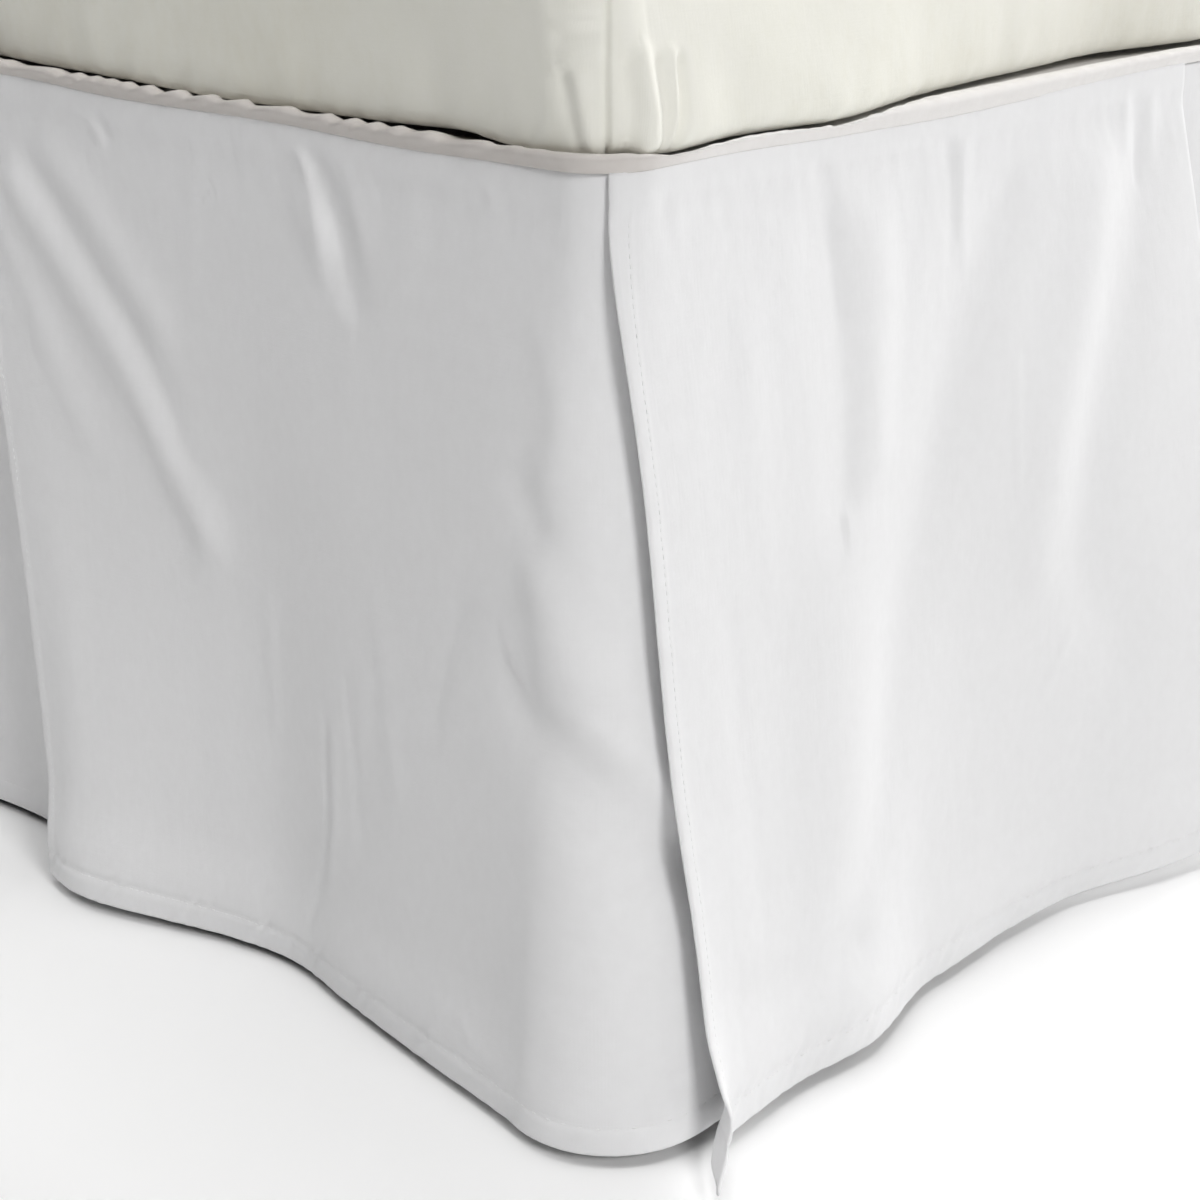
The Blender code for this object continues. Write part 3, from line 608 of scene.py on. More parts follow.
def skirt_panels():
    left_forms = (CORNER_SIDE, BROAD_WAVE, DOUBLE_WAVE, BROAD_WAVE, DOUBLE_WAVE)
    right_forms = (FAR_CORNER_SIDE,) + left_forms[1:]
    left_strengths = (1.00, 0.92, 1.05, 0.80, 0.75)
    right_strengths = (0.85, 1.00, 0.78, 1.08, 0.70)
    side_cut = SIDE_PITCH + LAP
    foot_cut = FOOT_PITCH + LAP
    panels = []
    for i in range(SIDE_PANELS):
        edge = LEFT_CORNER - SIDE_PITCH * (i + 1)
        panels.append(Panel(f"cloth_left_{i + 1}", edge, 1, side_cut, LAP, left_forms[i],
                            left_strengths[i], False, i == 0, 1.0 + i))
        panels.append(Panel(f"cloth_right_{i + 1}", RAIL_RUN - edge, -1, side_cut, LAP,
                            right_forms[i], right_strengths[i], False, False, 21.0 + i))
    panels.append(Panel("cloth_foot_1", LEFT_CORNER + SPLIT_SHIFT, 1, CORNER_FOOT_CUT, 0.0,
                        CORNER_FOOT, 1.0, True, True, 11.0))
    foot_forms = (BROAD_WAVE, DOUBLE_WAVE, BROAD_WAVE)
    foot_strengths = (0.90, 1.00, 1.15)
    for i, form in enumerate(foot_forms):
        edge = LEFT_CORNER + FOOT_PITCH * (i + 2)
        panels.append(Panel(f"cloth_foot_{i + 2}", edge, -1, foot_cut, LAP, form,
                            foot_strengths[i], False, False, 12.0 + i))
    return panels


# --- the deck --------------------------------------------------------------------------------

# How far the mattress lies inside its outline at a height above its underside.
Level = namedtuple("Level", "at inset")
LEVELS = (
    Level(0.0000, 0.0400), Level(0.0015, 0.0220), Level(0.0026, 0.0110), Level(0.0036, 0.0060),
    Level(0.0055, 0.0025), Level(0.0090, 0.0006), Level(0.0140, 0.0000), Level(0.0550, -0.0050),
    Level(0.1250, -0.0070), Level(0.1900, -0.0040), Level(0.2280, 0.0030), Level(0.2440, 0.0140),
    Level(0.2500, 0.0250),
)
# How far its lower edge lies inside the bed's edge, `at` metres from the near corner, and how
# tall the rounding of that edge is there, as a share of the levels above.
Edge = namedtuple("Edge", "at inset round")
LEFT_EDGE = (
    Edge(0.000, 0.002, 0.85), Edge(0.040, 0.003, 0.60), Edge(0.070, 0.004, 1.40),
    Edge(0.110, 0.004, 1.00), Edge(0.160, 0.004, 0.75), Edge(0.220, 0.004, 0.60),
    Edge(0.280, 0.004, 1.00), Edge(0.340, 0.007, 1.00), Edge(0.390, 0.012, 1.00),
    Edge(0.500, 0.015, 1.00), Edge(0.600, 0.017, 1.00),
)
FOOT_EDGE = (
    Edge(0.000, 0.001, 1.20), Edge(0.020, -0.001, 0.60), Edge(0.065, -0.001, 1.00),
    Edge(0.120, -0.001, 0.65), Edge(0.150, 0.002, 0.80), Edge(0.185, 0.009, 0.95),
    Edge(0.240, 0.016, 0.95), Edge(0.290, 0.021, 0.95), Edge(0.350, 0.027, 0.95),
    Edge(0.430, 0.018, 0.95), Edge(0.560, 0.018, 1.00),
)
ROUND_FADE = 0.015


DECK_LEVEL = SEAM_Z + SEAT_GAP + CLOTH / 2
# The rings of the deck's edge, from its turned-down rim inwards.
Ring = namedtuple("Ring", "reach sink")
DECK_RIM = (Ring(-0.0004, 0.00130), Ring(-0.0005, 0.00090), Ring(-0.0009, 0.00040),
            Ring(-0.0016, 0.00005))
DECK_REACHES = (-0.0026, -0.0040, -0.0056, -0.0074, -0.0094, -0.0116, -0.0140, -0.0166, -0.0194,
                -0.0226, -0.0262, -0.0310, -0.0380, -0.0500, -0.0700, -0.1000)
DECK_RINGS = DECK_RIM + tuple(Ring(reach, 0.0) for reach in DECK_REACHES)


# The deck cloth's slack by the near corner: it rises from the seam and turns in under the mattress.
Slack = namedtuple("Slack", "reach lift")
DECK_SLACK = (
    Slack(-0.0004, 0.0000), Slack(-0.0003, 0.0001), Slack(-0.0001, 0.0004), Slack(0.0004, 0.0014),
    Slack(0.0011, 0.0027), Slack(0.0017, 0.0040), Slack(0.0014, 0.0053), Slack(-0.0002, 0.0062),
    Slack(-0.0030, 0.0064), Slack(-0.0064, 0.0061), Slack(-0.0098, 0.0054), Slack(-0.0132, 0.0044),
    Slack(-0.0166, 0.0034), Slack(-0.0200, 0.0024), Slack(-0.0240, 0.0014), Slack(-0.0300, 0.0006),
)
CORNER_OFFSET = 0.0067
UNDER_MATTRESS = 0.0014
BESIDE_MATTRESS = 0.0016
PLEAT_PITCH = 0.0185
PLEAT_RISE = 0.76
SLACK_RUN = 0.400


def deck_height(run, reach):
    """Height of the deck cloth over its own level: the puckers between mattress and seam."""
    left = 1 - smooth_step((run - LEFT_CORNER + 0.06) / 0.05)
    slanted = run - 0.4 * reach * np.where(run > FOOT_MIDDLE, -1.0, 1.0)
    wave = ripple(slanted + 0.004 * np.sin(run * 61), 2.0, 0.030)
    fold = 1 - np.abs(np.clip(wave, -1.0, 1.0)) ** 1.4
    strip = smooth_step(-(reach + 0.002) / 0.008) * (1 - smooth_step((-reach - 0.012) / 0.018))
    depth = 0.0006 + 0.0018 * left
    return depth * fold * strip


def deck_slack(run, reach, height):
    """Reach and height of the deck with its slack roll, kept under the mattress's lower edge."""
    place = np.maximum(np.abs(run - LEFT_CORNER) - CORNER_OFFSET, 0.0)
    near = 1 - smooth_step((np.abs(run - LEFT_CORNER) - SLACK_RUN) / 0.10)
    slack_reach = np.array([slack.reach for slack in DECK_SLACK])
    slack_lift = np.array([slack.lift for slack in DECK_SLACK])
    leaning = run - 1.9 * slack_lift
    phase = leaning / PLEAT_PITCH + 0.9 * ripple(leaning, 4.0, 0.110, 3)
    phase = phase - np.floor(phase)
    pleat = smooth_step(phase / PLEAT_RISE) - smooth_step((phase - PLEAT_RISE) / (1 - PLEAT_RISE))
    uneven = 0.65 + 0.35 * ripple(run, 9.0, 0.070, 3)
    small = ripple(leaning, 6.0, 0.011, 3)
    rise = np.clip(slack_lift / 0.006, 0.0, 1.0)
    left = np.where(run < LEFT_CORNER, 1.0, 0.2)
    soft = smooth_step((place - 0.004) / 0.030)
    pull = rise * (left * 0.0034 * uneven * (pleat - 0.6) + 0.0003 * small) * soft
    roll_reach = slack_reach + pull - 0.0006 * rise * (1 - left)
    full = 1 - 0.46 * left * soft * (1 - pleat) * np.clip(uneven, 0.0, 1.0)
    roll_lift = slack_lift * full * (0.95 - 0.05 * left)
    shown = np.where(run < LEFT_CORNER, between(LEFT_EDGE, place, "inset"),
                     between(FOOT_EDGE, place, "inset"))
    rounding = np.where(run < LEFT_CORNER, between(LEFT_EDGE, place, "round"),
                        between(FOOT_EDGE, place, "round"))
    heights = np.array([level.at for level in LEVELS[:7]])
    insets = np.array([level.inset for level in LEVELS[:7]])
    under = np.interp(-roll_reach - shown + BESIDE_MATTRESS, insets[::-1], heights[::-1], left=0.02)
    room = np.maximum(under * rounding - UNDER_MATTRESS, 1e-5)
    roll_lift = roll_lift * room / (roll_lift ** 4 + room ** 4) ** 0.25
    return reach + near * (roll_reach - reach), height + near * (roll_lift - height)


def skirt_deck(material):
    near = np.arange(LEFT_CORNER - 0.52, LEFT_CORNER + 0.52, 0.0017)
    runs = np.concatenate([np.arange(0, near[0] - 0.004, 0.011), near,
                           np.arange(near[-1] + 0.008, RAIL_RUN - 0.004, 0.011), [RAIL_RUN]])
    run, reach = np.meshgrid(runs, np.array([ring.reach for ring in DECK_RINGS]), indexing="ij")
    height = deck_height(run, reach)
    ends = len(DECK_SLACK)
    flat_reach = reach.copy()
    reach[:, :ends], height[:, :ends] = deck_slack(run[:, :ends], reach[:, :ends], height[:, :ends])
    x, y = rail_point(run, reach)
    rise = seam_rise(run) * np.exp(-np.maximum(-flat_reach, 0) / 0.010)
    z = DECK_LEVEL + height + rise - np.array([ring.sink for ring in DECK_RINGS])
    middle = np.stack([x, y, z], axis=-1)
    columns, rows = middle.shape[:2]
    half = SHEET_THICK / 2
    normal = grid_normals(middle)
    if np.sum(normal[..., 2]) < 0:
        normal = -normal
    upper, lower = middle + normal * half, middle - normal * half
    count = columns * rows
    points = np.concatenate([upper.reshape(-1, 3), lower.reshape(-1, 3)])
    faces = [tuple(f) for f in grid_faces(columns, rows, 0, False)]
    faces += [tuple(f) for f in grid_faces(columns, rows, count, True)]
    for c in range(columns - 1):
        a, b = c * rows, (c + 1) * rows
        faces.append((a, b, b + count, a + count))
    inner_top = [c * rows + rows - 1 for c in range(columns)]
    faces.append(tuple(inner_top))
    faces.append(tuple(i + count for i in reversed(inner_top)))
    for base in (0, (columns - 1) * rows):
        for r in range(rows - 1):
            quad = (base + r, base + r + 1, base + r + 1 + count, base + r + count)
            faces.append(quad if base else quad[::-1])
    head = (inner_top[-1], inner_top[0], inner_top[0] + count, inner_top[-1] + count)
    faces.append(head)
    uv = points[:, :2].copy()
    deck = make_mesh("cloth_deck", points, faces, uv, material)
    mend_normals(deck)
    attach(deck, "root")
    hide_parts("skirt_deck")
    return deck


def mend_normals(placed):
    """Turn all faces of a closed mesh outward."""
    builder = bmesh.new()
    builder.from_mesh(placed.data)
    bmesh.ops.recalc_face_normals(builder, faces=builder.faces[:])
    builder.to_mesh(placed.data)
    builder.free()


# --- the mattress ----------------------------------------------------------------------------

MATTRESS_INSET = 0.008
MATTRESS_RADIUS = 0.018
MATTRESS_BOTTOM = SEAM_Z + CLOTH + 2 * SEAT_GAP
MATTRESS_TALL = 0.260
DRAW_IN = 0.010
DRAW_RUN = 0.360
LEFT_LEAN = 0.100
LEFT_LEAN_RISE = 0.060
FOOT_LEAN = 0.150
FOOT_LEAN_FROM = 0.008
FOOT_TURN_UNDER = 0.0012


def side_places(half_x, half_y):
    """Stations round the mattress from the near corner: plan point, outward direction, distance
    from the nearest corner, run along the left side and along the foot (or 9 elsewhere)."""
    corners = ((-1, -1), (1, -1), (1, 1), (-1, 1))
    rows = []
    for k, (sx, sy) in enumerate(corners):
        start = math.pi * (1.25 + 0.5 * k)
        centre = (sx * (half_x - MATTRESS_RADIUS), sy * (half_y - MATTRESS_RADIUS))
        steps = 24 if k == 0 else 4
        for i in range(steps + 1):
            angle = start + (math.pi / 4) * i / steps
            rows.append((centre, angle, 0.0, 9.0, MATTRESS_RADIUS * (angle - start) if k == 0 else 9.0))
        side_x, side_y = math.cos(angle), math.sin(angle)
        run = 2 * ((half_x if k % 2 == 0 else half_y) - MATTRESS_RADIUS)
        near_start, near_end = k == 0, k == 3
        places = [0.0]
        while places[-1] < run:
            here = places[-1]
            fine = (near_start and here < 0.52) or (near_end and here > run - 0.52)
            finest = (near_start and here < 0.026) or (near_end and here > run - 0.022)
            places.append(here + (0.0013 if finest else 0.0042 if fine else 0.016))
        places = [p for p in places[1:] if p < run - 0.002]
        for place in places:
            point = (centre[0] + side_x * MATTRESS_RADIUS - side_y * place,
                     centre[1] + side_y * MATTRESS_RADIUS + side_x * place)
            from_corner = min(place, run - place)
            foot = place + MATTRESS_RADIUS * math.pi / 4 if near_start else 9.0
            left = run - place + MATTRESS_RADIUS * math.pi / 4 if near_end else 9.0
            rows.append((point, (side_x, side_y), from_corner, left, foot))
        next_sx, next_sy = corners[(k + 1) % 4]
        centre = (next_sx * (half_x - MATTRESS_RADIUS), next_sy * (half_y - MATTRESS_RADIUS))
        steps = 24 if k == 3 else 4
        for i in range(steps):
            angle = start + math.pi / 4 + (math.pi / 4) * i / steps
            left = MATTRESS_RADIUS * (start + math.pi / 2 - angle) if k == 3 else 9.0
            rows.append((centre, angle, 0.0, left, 9.0))
    points, ways, far, left, foot = [], [], [], [], []
    for place, way, distance, on_left, on_foot in rows:
        if isinstance(way, float):
            way = (math.cos(way), math.sin(way))
            place = (place[0] + way[0] * MATTRESS_RADIUS, place[1] + way[1] * MATTRESS_RADIUS)
        points.append(place)
        ways.append(way)
        far.append(distance)
        left.append(on_left)
        foot.append(on_foot)
    return tuple(np.array(v) for v in (points, ways, far, left, foot))


# Gathers of the cover by the near corner: a fold's path is (metres along the side from the
# corner, metres above the underside).
FOOT_GATHERS = (
    Fold(((0.0052, 0.002), (0.0068, 0.016), (0.0056, 0.034)), -0.0020, 0.0026, 0.0030),
    Fold(((0.0105, 0.002), (0.0122, 0.018), (0.0105, 0.038)), 0.0022, 0.0026, 0.0034),
    Fold(((0.0165, 0.002), (0.0180, 0.016), (0.0175, 0.034)), -0.0012, 0.0024, 0.0024),
    Fold(((0.0190, 0.004), (0.0232, 0.018), (0.0245, 0.036)), 0.0015, 0.0024, 0.0022),
    Fold(((0.0205, 0.003), (0.0262, 0.016), (0.0280, 0.033)), -0.0022, 0.0017, 0.0028),
)
LEFT_GATHERS = (
    Fold(((0.0030, 0.000), (0.0050, 0.016), (0.0066, 0.030)), 0.0014, 0.0030, 0.0030),
    Fold(((0.0070, 0.004), (0.0095, 0.018), (0.0110, 0.030)), -0.0012, 0.0024, 0.0024),
    Fold(((0.0025, 0.038), (0.0130, 0.034)), 0.0011, 0.0020, 0.0020),
    Fold(((0.0025, 0.045), (0.0105, 0.043)), -0.0009, 0.0018, 0.0018),
    Fold(((0.0025, 0.051), (0.0120, 0.049)), 0.0011, 0.0019, 0.0019),
    Fold(((0.0025, 0.059), (0.0100, 0.058)), 0.0009, 0.0018, 0.0018),
    Fold(((0.0025, 0.068), (0.0130, 0.065)), 0.0011, 0.0020, 0.0020),
    Fold(((0.0025, 0.077), (0.0110, 0.076)), 0.0009, 0.0018, 0.0018),
    Fold(((0.0120, 0.006), (0.0125, 0.045), (0.0118, 0.085)), -0.0006, 0.0030, 0.0030),
)


def mattress(material):
    half_x = BED_WIDTH / 2 - MATTRESS_INSET
    half_y = BED_LENGTH / 2 - MATTRESS_INSET
    place, way, far, left, foot = side_places(half_x, half_y)
    heights = np.concatenate([[0.0, 0.0008, 0.0015, 0.0021, 0.0026, 0.0031, 0.0036, 0.0044, 0.0055,
                               0.0070, 0.0090, 0.0114], np.arange(0.0140, 0.088, 0.0019),
                              np.arange(0.092, 0.244, 0.011),
                              [0.2440, 0.2475, 0.2500]])
    station, height = np.meshgrid(np.arange(len(place)), heights, indexing="ij")
    solid_edge = MATTRESS_INSET + DRAW_IN * smooth_step(far / DRAW_RUN)
    shown_edge = np.where(left < 8, between(LEFT_EDGE, left, "inset"),
                          np.where(foot < 8, between(FOOT_EDGE, foot, "inset"), solid_edge))
    rounding = np.where(left < 8, between(LEFT_EDGE, left, "round"),
                        np.where(foot < 8, between(FOOT_EDGE, foot, "round"), 1.0))
    share = np.where(left < 8, 1 - smooth_step((left - 0.42) / 0.16),
                     np.where(foot < 8, 1 - smooth_step((foot - 0.42) / 0.12), 0.0))
    tightness = (share * (1 / rounding - 1))[:, None] * bell(height, ROUND_FADE)
    out = -between(LEVELS, height * (1 + tightness), "inset")
    out -= DRAW_IN * smooth_step(far / DRAW_RUN)[:, None]
    around = np.concatenate([[0], np.cumsum(np.hypot(*np.diff(place, axis=0).T))])
    own = 0.0030 * ripple(around, 4.0, 0.085) * smooth_step(far / 0.05)
    shift = share * (solid_edge - shown_edge) + (1 - share) * own
    out += shift[:, None] * np.exp(-((height / 0.050) ** 2))
    out += 0.0005 * ripple(around, 8.0, 0.046)[:, None] * bell(height - 0.014, 0.018)
    out += 0.0004 * ripple(around[:, None] + 0.9 * height, 13.0, 0.120) * smooth_step(height / 0.03)
    nick = ripple(around[:, None] - 0.8 * height, 17.0, 0.017, 4)
    out += 0.0005 * nick * bell(height - 0.006, 0.007)
    along_left = np.broadcast_to(left[:, None], height.shape)
    along_foot = np.broadcast_to(foot[:, None], height.shape)
    out += fold_lift(FOOT_GATHERS, along_foot, height)
    out += fold_lift(LEFT_GATHERS, along_left, height)
    facing_foot = np.clip(-way[:, 1:2], 0.0, 1.0)
    out -= facing_foot * FOOT_LEAN * np.maximum(height - FOOT_LEAN_FROM, 0.0)
    out -= facing_foot * FOOT_TURN_UNDER * bell(height, 0.007)
    facing_left = np.clip(-way[:, 0:1], 0.0, 1.0)
    out += facing_left * LEFT_LEAN * np.clip(height - FOOT_LEAN_FROM, 0.0, LEFT_LEAN_RISE)
    seam_gap = np.minimum(np.minimum(left, foot), 8.0)
    out -= 0.0018 * bell(seam_gap, 0.0009)[:, None] * (1 - smooth_step((height - 0.222) / 0.022))
    drawn = np.maximum(-out - MATTRESS_RADIUS + 0.002, 0.0)
    x = (place[:, 0:1] + way[:, 0:1] * (out + drawn)) * (1 - drawn / half_x)
    y = (place[:, 1:2] + way[:, 1:2] * (out + drawn)) * (1 - drawn / half_y)
    z = MATTRESS_BOTTOM + height
    side = np.stack([x, y, z], axis=-1)
    top_shares = np.array([0.012, 0.03, 0.06, 0.10, 0.16, 0.24, 0.34, 0.46, 0.60, 0.76, 0.92])
    rim = side[:, -1, :]
    lift = MATTRESS_TALL - 0.250
    top = []
    for share_in in top_shares:
        ring = rim * (1 - share_in)
        plan = np.abs(ring[:, :2]) / np.abs(rim[:, :2]).max(axis=0)
        ring[:, 2] = MATTRESS_BOTTOM + 0.250 + lift * np.prod(1 - plan ** 4, axis=1)
        top.append(ring)
    rings = np.concatenate([side.transpose(1, 0, 2), np.array(top)])
    levels, count = rings.shape[:2]
    points = rings.reshape(-1, 3)
    faces = []
    index = np.arange(count)
    ahead = np.roll(index, -1)
    for k in range(levels - 1):
        a, b = k * count + index, k * count + ahead
        faces += np.stack([a, b, b + count, a + count], axis=-1).tolist()
    faces.append(list(range(count - 1, -1, -1)))
    faces.append([(levels - 1) * count + i for i in range(count)])
    uv = np.stack([np.tile(around, levels),
                   np.repeat(np.concatenate([heights, 0.25 + top_shares]), count)], axis=-1)
    made = make_mesh("mattress_cover", points, faces, uv, material)
    mend_normals(made)
    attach(made, "root")
    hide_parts("mattress")
    return made


# --- materials -------------------------------------------------------------------------------

class Graph:
    """A material's nodes, wired by short calls."""

    def __init__(self, name, colour, roughness):
        self.material = bpy.data.materials.new(name)
        self.material.use_nodes = True
        self.material.diffuse_color = (*colour, 1.0)
        self.tree = self.material.node_tree
        self.shader = self.tree.nodes["Principled BSDF"]
        self.shader.inputs["Base Color"].default_value = (*colour, 1.0)
        self.shader.inputs["Roughness"].default_value = roughness

    def node(self, kind, **values):
        made = self.tree.nodes.new(kind)
        for key, value in values.items():
            if hasattr(made, key):
                setattr(made, key, value)
            else:
                made.inputs[key.replace("_", " ")].default_value = value
        return made

    def link(self, source, target):
        self.tree.links.new(source, target)

    def place(self, kind, scale):
        """Coordinates: the cloth's own UV map or the object's, stretched by a scale."""
        if kind == "uv":
            source = self.node("ShaderNodeUVMap", uv_map="cloth").outputs["UV"]
        else:
            source = self.node("ShaderNodeTexCoord").outputs["Object"]
        mapping = self.node("ShaderNodeMapping")
        mapping.inputs["Scale"].default_value = scale
        self.link(source, mapping.inputs["Vector"])
        return mapping.outputs["Vector"]

    def noise(self, place, scale, detail=4.0, rough=0.55):
        made = self.node("ShaderNodeTexNoise")
        made.inputs["Scale"].default_value = scale
        made.inputs["Detail"].default_value = detail
        made.inputs["Roughness"].default_value = rough
        self.link(place, made.inputs["Vector"])
        return made.outputs["Fac"]

    def wave(self, place, scale, direction="X"):
        made = self.node("ShaderNodeTexWave")
        made.wave_type = "BANDS"
        made.bands_direction = direction
        made.inputs["Scale"].default_value = scale
        made.inputs["Distortion"].default_value = 0.6
        made.inputs["Detail"].default_value = 1.0
        self.link(place, made.inputs["Vector"])
        return made.outputs["Fac"]

    def paint_side_shade(self, colour, sides):
        """Painted shade: the colour is multiplied darker towards the bed's two long edges, where the
        mattress shades the deck's strip.
        """
        parts = self.node("ShaderNodeSeparateXYZ")
        self.link(self.place("object", (1, 1, 1)), parts.inputs["Vector"])
        blend = self.node("ShaderNodeMapRange", interpolation_type="SMOOTHSTEP")
        blend.inputs["From Min"].default_value = BED_WIDTH / 2 - 0.055
        blend.inputs["From Max"].default_value = BED_WIDTH / 2 - 0.004
        self.link(self.math("ABSOLUTE", parts.outputs["X"], 0.0), blend.inputs["Value"])
        tinted = self.node("ShaderNodeMixRGB", blend_type="MULTIPLY")
        self.link(blend.outputs["Result"], tinted.inputs["Fac"])
        self.link(colour, tinted.inputs["Color1"])
        tinted.inputs["Color2"].default_value = (*sides, 1.0)
        return tinted.outputs["Color"]

    def math(self, operation, a, b):
        made = self.node("ShaderNodeMath")
        made.operation = operation
        for socket, value in zip(made.inputs, (a, b)):
            if isinstance(value, (int, float)):
                socket.default_value = value
            else:
                self.link(value, socket)
        return made.outputs["Value"]

    def ramp(self, value, stops):
        made = self.node("ShaderNodeValToRGB")
        ramp = made.color_ramp
        while len(ramp.elements) < len(stops):
            ramp.elements.new(0.5)
        for element, (position, colour) in zip(ramp.elements, stops):
            element.position = position
            element.color = (*colour, 1.0)
        self.link(value, made.inputs["Fac"])
        return made.outputs["Color"]

    def spread(self, value, low, high):
        made = self.node("ShaderNodeMapRange")
        made.inputs["To Min"].default_value = low
        made.inputs["To Max"].default_value = high
        self.link(value, made.inputs["Value"])
        return made.outputs["Result"]

    def bump(self, height, strength, distance, under=None):
        made = self.node("ShaderNodeBump")
        made.inputs["Strength"].default_value = strength
        made.inputs["Distance"].default_value = distance
        self.link(height, made.inputs["Height"])
        if under is not None:
            self.link(under, made.inputs["Normal"])
        return made.outputs["Normal"]

    def finish(self, colour=None, roughness=None, normal=None, sheen=0.0):
        if colour is not None:
            self.link(colour, self.shader.inputs["Base Color"])
        if roughness is not None:
            self.link(roughness, self.shader.inputs["Roughness"])
        if normal is not None:
            self.link(normal, self.shader.inputs["Normal"])
        self.shader.inputs["Sheen Weight"].default_value = sheen
        self.shader.inputs["Sheen Roughness"].default_value = 0.5
        self.shader.inputs["Specular IOR Level"].default_value = 0.25
        return self.material


def weave_height(graph, kind, pitch):
    """Warp and weft threads with slubs: height of a plain weave."""
    warp = graph.wave(graph.place(kind, (1, 1, 1)), 1.0 / pitch / 2, "X")
    weft = graph.wave(graph.place(kind, (1, 1, 1)), 1.0 / pitch / 2, "Y")
    crossing = graph.math("MULTIPLY", warp, weft)
    slub_warp = graph.noise(graph.place(kind, (900, 42, 60)), 1.0, 3.0)
    slub_weft = graph.noise(graph.place(kind, (38, 900, 60)), 1.0, 3.0)
    slub = graph.math("ADD", graph.math("MULTIPLY", slub_warp, 0.6),
                      graph.math("MULTIPLY", slub_weft, 0.4))
    return graph.math("ADD", graph.math("MULTIPLY", crossing, 0.35), slub)


def skirt_cotton(name, dark, light, sides=None):
    graph = Graph(name, light, 0.85)
    streak = graph.noise(graph.place("uv", (210, 120, 90)), 1.0, 4.0)
    cloud = graph.noise(graph.place("uv", (9, 6, 7)), 1.0, 5.0)
    mix = graph.math("ADD", graph.math("MULTIPLY", streak, 0.5), graph.math("MULTIPLY", cloud, 0.5))
    colour = graph.ramp(mix, ((0.30, dark), (0.70, light)))
    if sides:
        colour = graph.paint_side_shade(colour, sides)
    rough = graph.spread(streak, 0.78, 0.94)
    soft = graph.noise(graph.place("uv", (46, 30, 30)), 1.0, 4.0)
    normal = graph.bump(soft, 0.5, 0.0010)
    normal = graph.bump(weave_height(graph, "uv", 0.00042), 0.55, 0.00016, normal)
    return graph.finish(colour, rough, normal, 0.12)


def thread_cotton():
    graph = Graph("skirt_thread", (0.88, 0.88, 0.88), 0.7)
    twist = graph.wave(graph.place("object", (1, 1, 1)), 900.0, "DIAGONAL")
    colour = graph.ramp(twist, ((0.0, (0.84, 0.84, 0.84)), (1.0, (0.92, 0.92, 0.92))))
    return graph.finish(colour, graph.spread(twist, 0.6, 0.8), None, 0.1)


def mattress_cotton():
    graph = Graph("mattress_cover_cotton", (0.83, 0.81, 0.74), 0.88)
    cloud = graph.noise(graph.place("object", (5, 5, 5)), 1.0, 4.0)
    streak = graph.noise(graph.place("object", (150, 150, 90)), 1.0, 3.0)
    mix = graph.math("ADD", graph.math("MULTIPLY", cloud, 0.7), graph.math("MULTIPLY", streak, 0.3))
    colour = graph.ramp(mix, ((0.30, (0.815, 0.800, 0.705)), (0.52, (0.860, 0.853, 0.778)),
                              (0.72, (0.875, 0.866, 0.805))))
    rough = graph.spread(streak, 0.80, 0.95)
    soft = graph.noise(graph.place("object", (26, 26, 30)), 1.0, 4.0)
    normal = graph.bump(soft, 0.6, 0.0012)
    normal = graph.bump(weave_height(graph, "uv", 0.00050), 0.6, 0.00018, normal)
    return graph.finish(colour, rough, normal, 0.15)


def box_cloth():
    graph = Graph("box_spring_cloth", (0.62, 0.61, 0.59), 0.90)
    spots = graph.noise(graph.place("object", (180, 180, 180)), 1.0, 5.0)
    cloud = graph.noise(graph.place("object", (4, 4, 4)), 1.0, 2.0)
    mix = graph.math("ADD", graph.math("MULTIPLY", spots, 0.6), graph.math("MULTIPLY", cloud, 0.4))
    colour = graph.ramp(mix, ((0.3, (0.56, 0.55, 0.53)), (0.7, (0.68, 0.67, 0.65))))
    threads = graph.noise(graph.place("object", (700, 700, 500)), 1.0, 3.0)
    normal = graph.bump(threads, 0.6, 0.0004)
    return graph.finish(colour, graph.spread(spots, 0.85, 0.97), normal, 0.1)


def leg_wood():
    graph = Graph("leg_stained_wood", (0.30, 0.19, 0.11), 0.50)
    grain = graph.noise(graph.place("object", (90, 90, 5)), 1.0, 6.0, 0.6)
    pores = graph.noise(graph.place("object", (420, 420, 18)), 1.0, 2.0)
    colour = graph.ramp(grain, ((0.25, (0.17, 0.10, 0.055)), (0.5, (0.29, 0.18, 0.10)),
                                (0.75, (0.39, 0.26, 0.15))))
    normal = graph.bump(pores, 0.4, 0.0004)
    made = graph.finish(colour, graph.spread(grain, 0.42, 0.62), normal)
    graph.shader.inputs["Specular IOR Level"].default_value = 0.45
    return made


def pale_floor():
    graph = Graph("studio_floor", (0.97, 0.97, 0.97), 0.9)
    grain = graph.noise(graph.place("object", (30, 30, 30)), 1.0, 3.0)
    return graph.finish(None, graph.spread(grain, 0.85, 0.95))


# --- the studio ------------------------------------------------------------------------------

def studio_floor():
    size = 40.0
    points = np.array([(-size, -size, 0), (size, -size, 0), (size, size, 0), (-size, size, 0)],
                      dtype=float)
    floor = make_mesh("floor", points, [(0, 1, 2, 3)], points[:, :2], pale_floor(), False)


def area_light(name, place, target, size, power, colour):
    data = bpy.data.lights.new(name, "AREA")
    data.shape = "RECTANGLE"
    data.size, data.size_y = size
    data.energy = power
    data.color = colour
    lamp = bpy.data.objects.new(name, data)
    lamp.location = place
    lamp.rotation_mode = "QUATERNION"
    lamp.rotation_quaternion = (Vector(target) - Vector(place)).to_track_quat("-Z", "Y")
    bpy.context.scene.collection.objects.link(lamp)
    return lamp


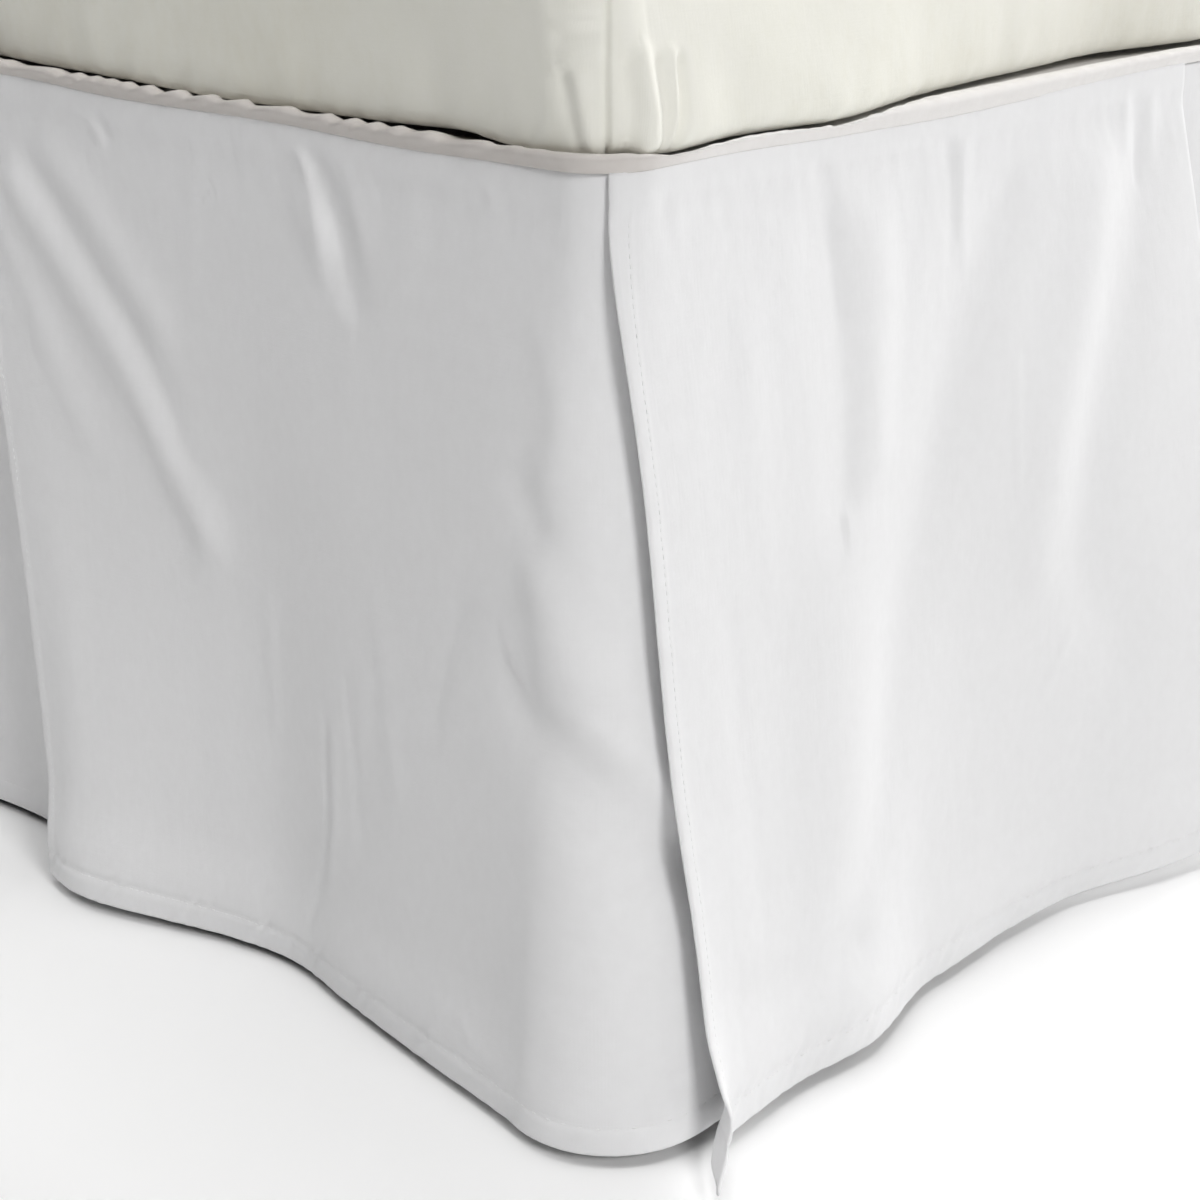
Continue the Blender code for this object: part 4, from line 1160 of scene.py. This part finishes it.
# A soft lamp: where it stands as seen from the bed's near corner, its power and its size.
Lamp = namedtuple("Lamp", "name azimuth height watts size")
LAMPS = (
    Lamp("low_right", 350, 15, 350.0, 3.0), Lamp("front_left", 255, 35, 280.0, 2.2),
    Lamp("high_left", 150, 60, 130.0, 3.5), Lamp("overhead", 0, 88, 250.0, 3.5),
)
LAMP_AIM = (-0.74, -1.00, 0.20)
LAMP_DISTANCE = 8.0


def lights():
    for lamp in LAMPS:
        azimuth, height = math.radians(lamp.azimuth), math.radians(lamp.height)
        way = (math.cos(azimuth) * math.cos(height), math.sin(azimuth) * math.cos(height),
               math.sin(height))
        place = [aim + LAMP_DISTANCE * part for aim, part in zip(LAMP_AIM, way)]
        area_light(lamp.name, place, LAMP_AIM, (lamp.size, lamp.size), lamp.watts,
                   (1.0, 0.997, 0.993))
    world = bpy.data.worlds.new("studio")
    bpy.context.scene.world = world
    world.use_nodes = True
    back = world.node_tree.nodes["Background"]
    back.inputs["Color"].default_value = (0.95, 0.97, 1.0, 1.0)
    back.inputs["Strength"].default_value = 0.02


def camera():
    pitch = math.radians(21.50)
    forward = (0.7311 * math.cos(pitch), 0.6822 * math.cos(pitch), -math.sin(pitch))
    data = bpy.data.cameras.new("camera")
    data.sensor_fit = "HORIZONTAL"
    data.sensor_width = 36.0
    data.lens = 2132.5 / 1200.0 * 36.0
    data.clip_start, data.clip_end = 0.05, 120.0
    made = bpy.data.objects.new("camera", data)
    made.location = (-1.2906, -1.5056, 0.5181)
    made.rotation_mode = "QUATERNION"
    made.rotation_quaternion = Vector(forward).to_track_quat("-Z", "Y")
    bpy.context.scene.collection.objects.link(made)
    bpy.context.scene.camera = made


# --- build -----------------------------------------------------------------------------------

def dress_nodes():
    """Better finishes for the nodes that stay."""
    base, wood = box_cloth(), leg_wood()
    for name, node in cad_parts.items():
        if name == "box_spring":
            node.material_slots[0].material = base
        elif name.startswith("leg_"):
            node.material_slots[0].material = wood


cotton = skirt_cotton("skirt_cotton_cloth", (0.848, 0.846, 0.852), (0.886, 0.886, 0.893))
# The deck's last colour is painted shade, multiplied in along the bed's long edges where the mattress
# shades the deck's strip.
deck_cotton = skirt_cotton("skirt_deck_cotton", (0.790, 0.768, 0.750), (0.850, 0.832, 0.818),
                           (0.78, 0.755, 0.735))
thread = thread_cotton()
for panel in skirt_panels():
    drop_panel(panel, cotton, thread)
skirt_deck(deck_cotton)
mattress(mattress_cotton())
dress_nodes()
studio_floor()
lights()
camera()
bpy.context.scene.view_settings.view_transform = "Standard"
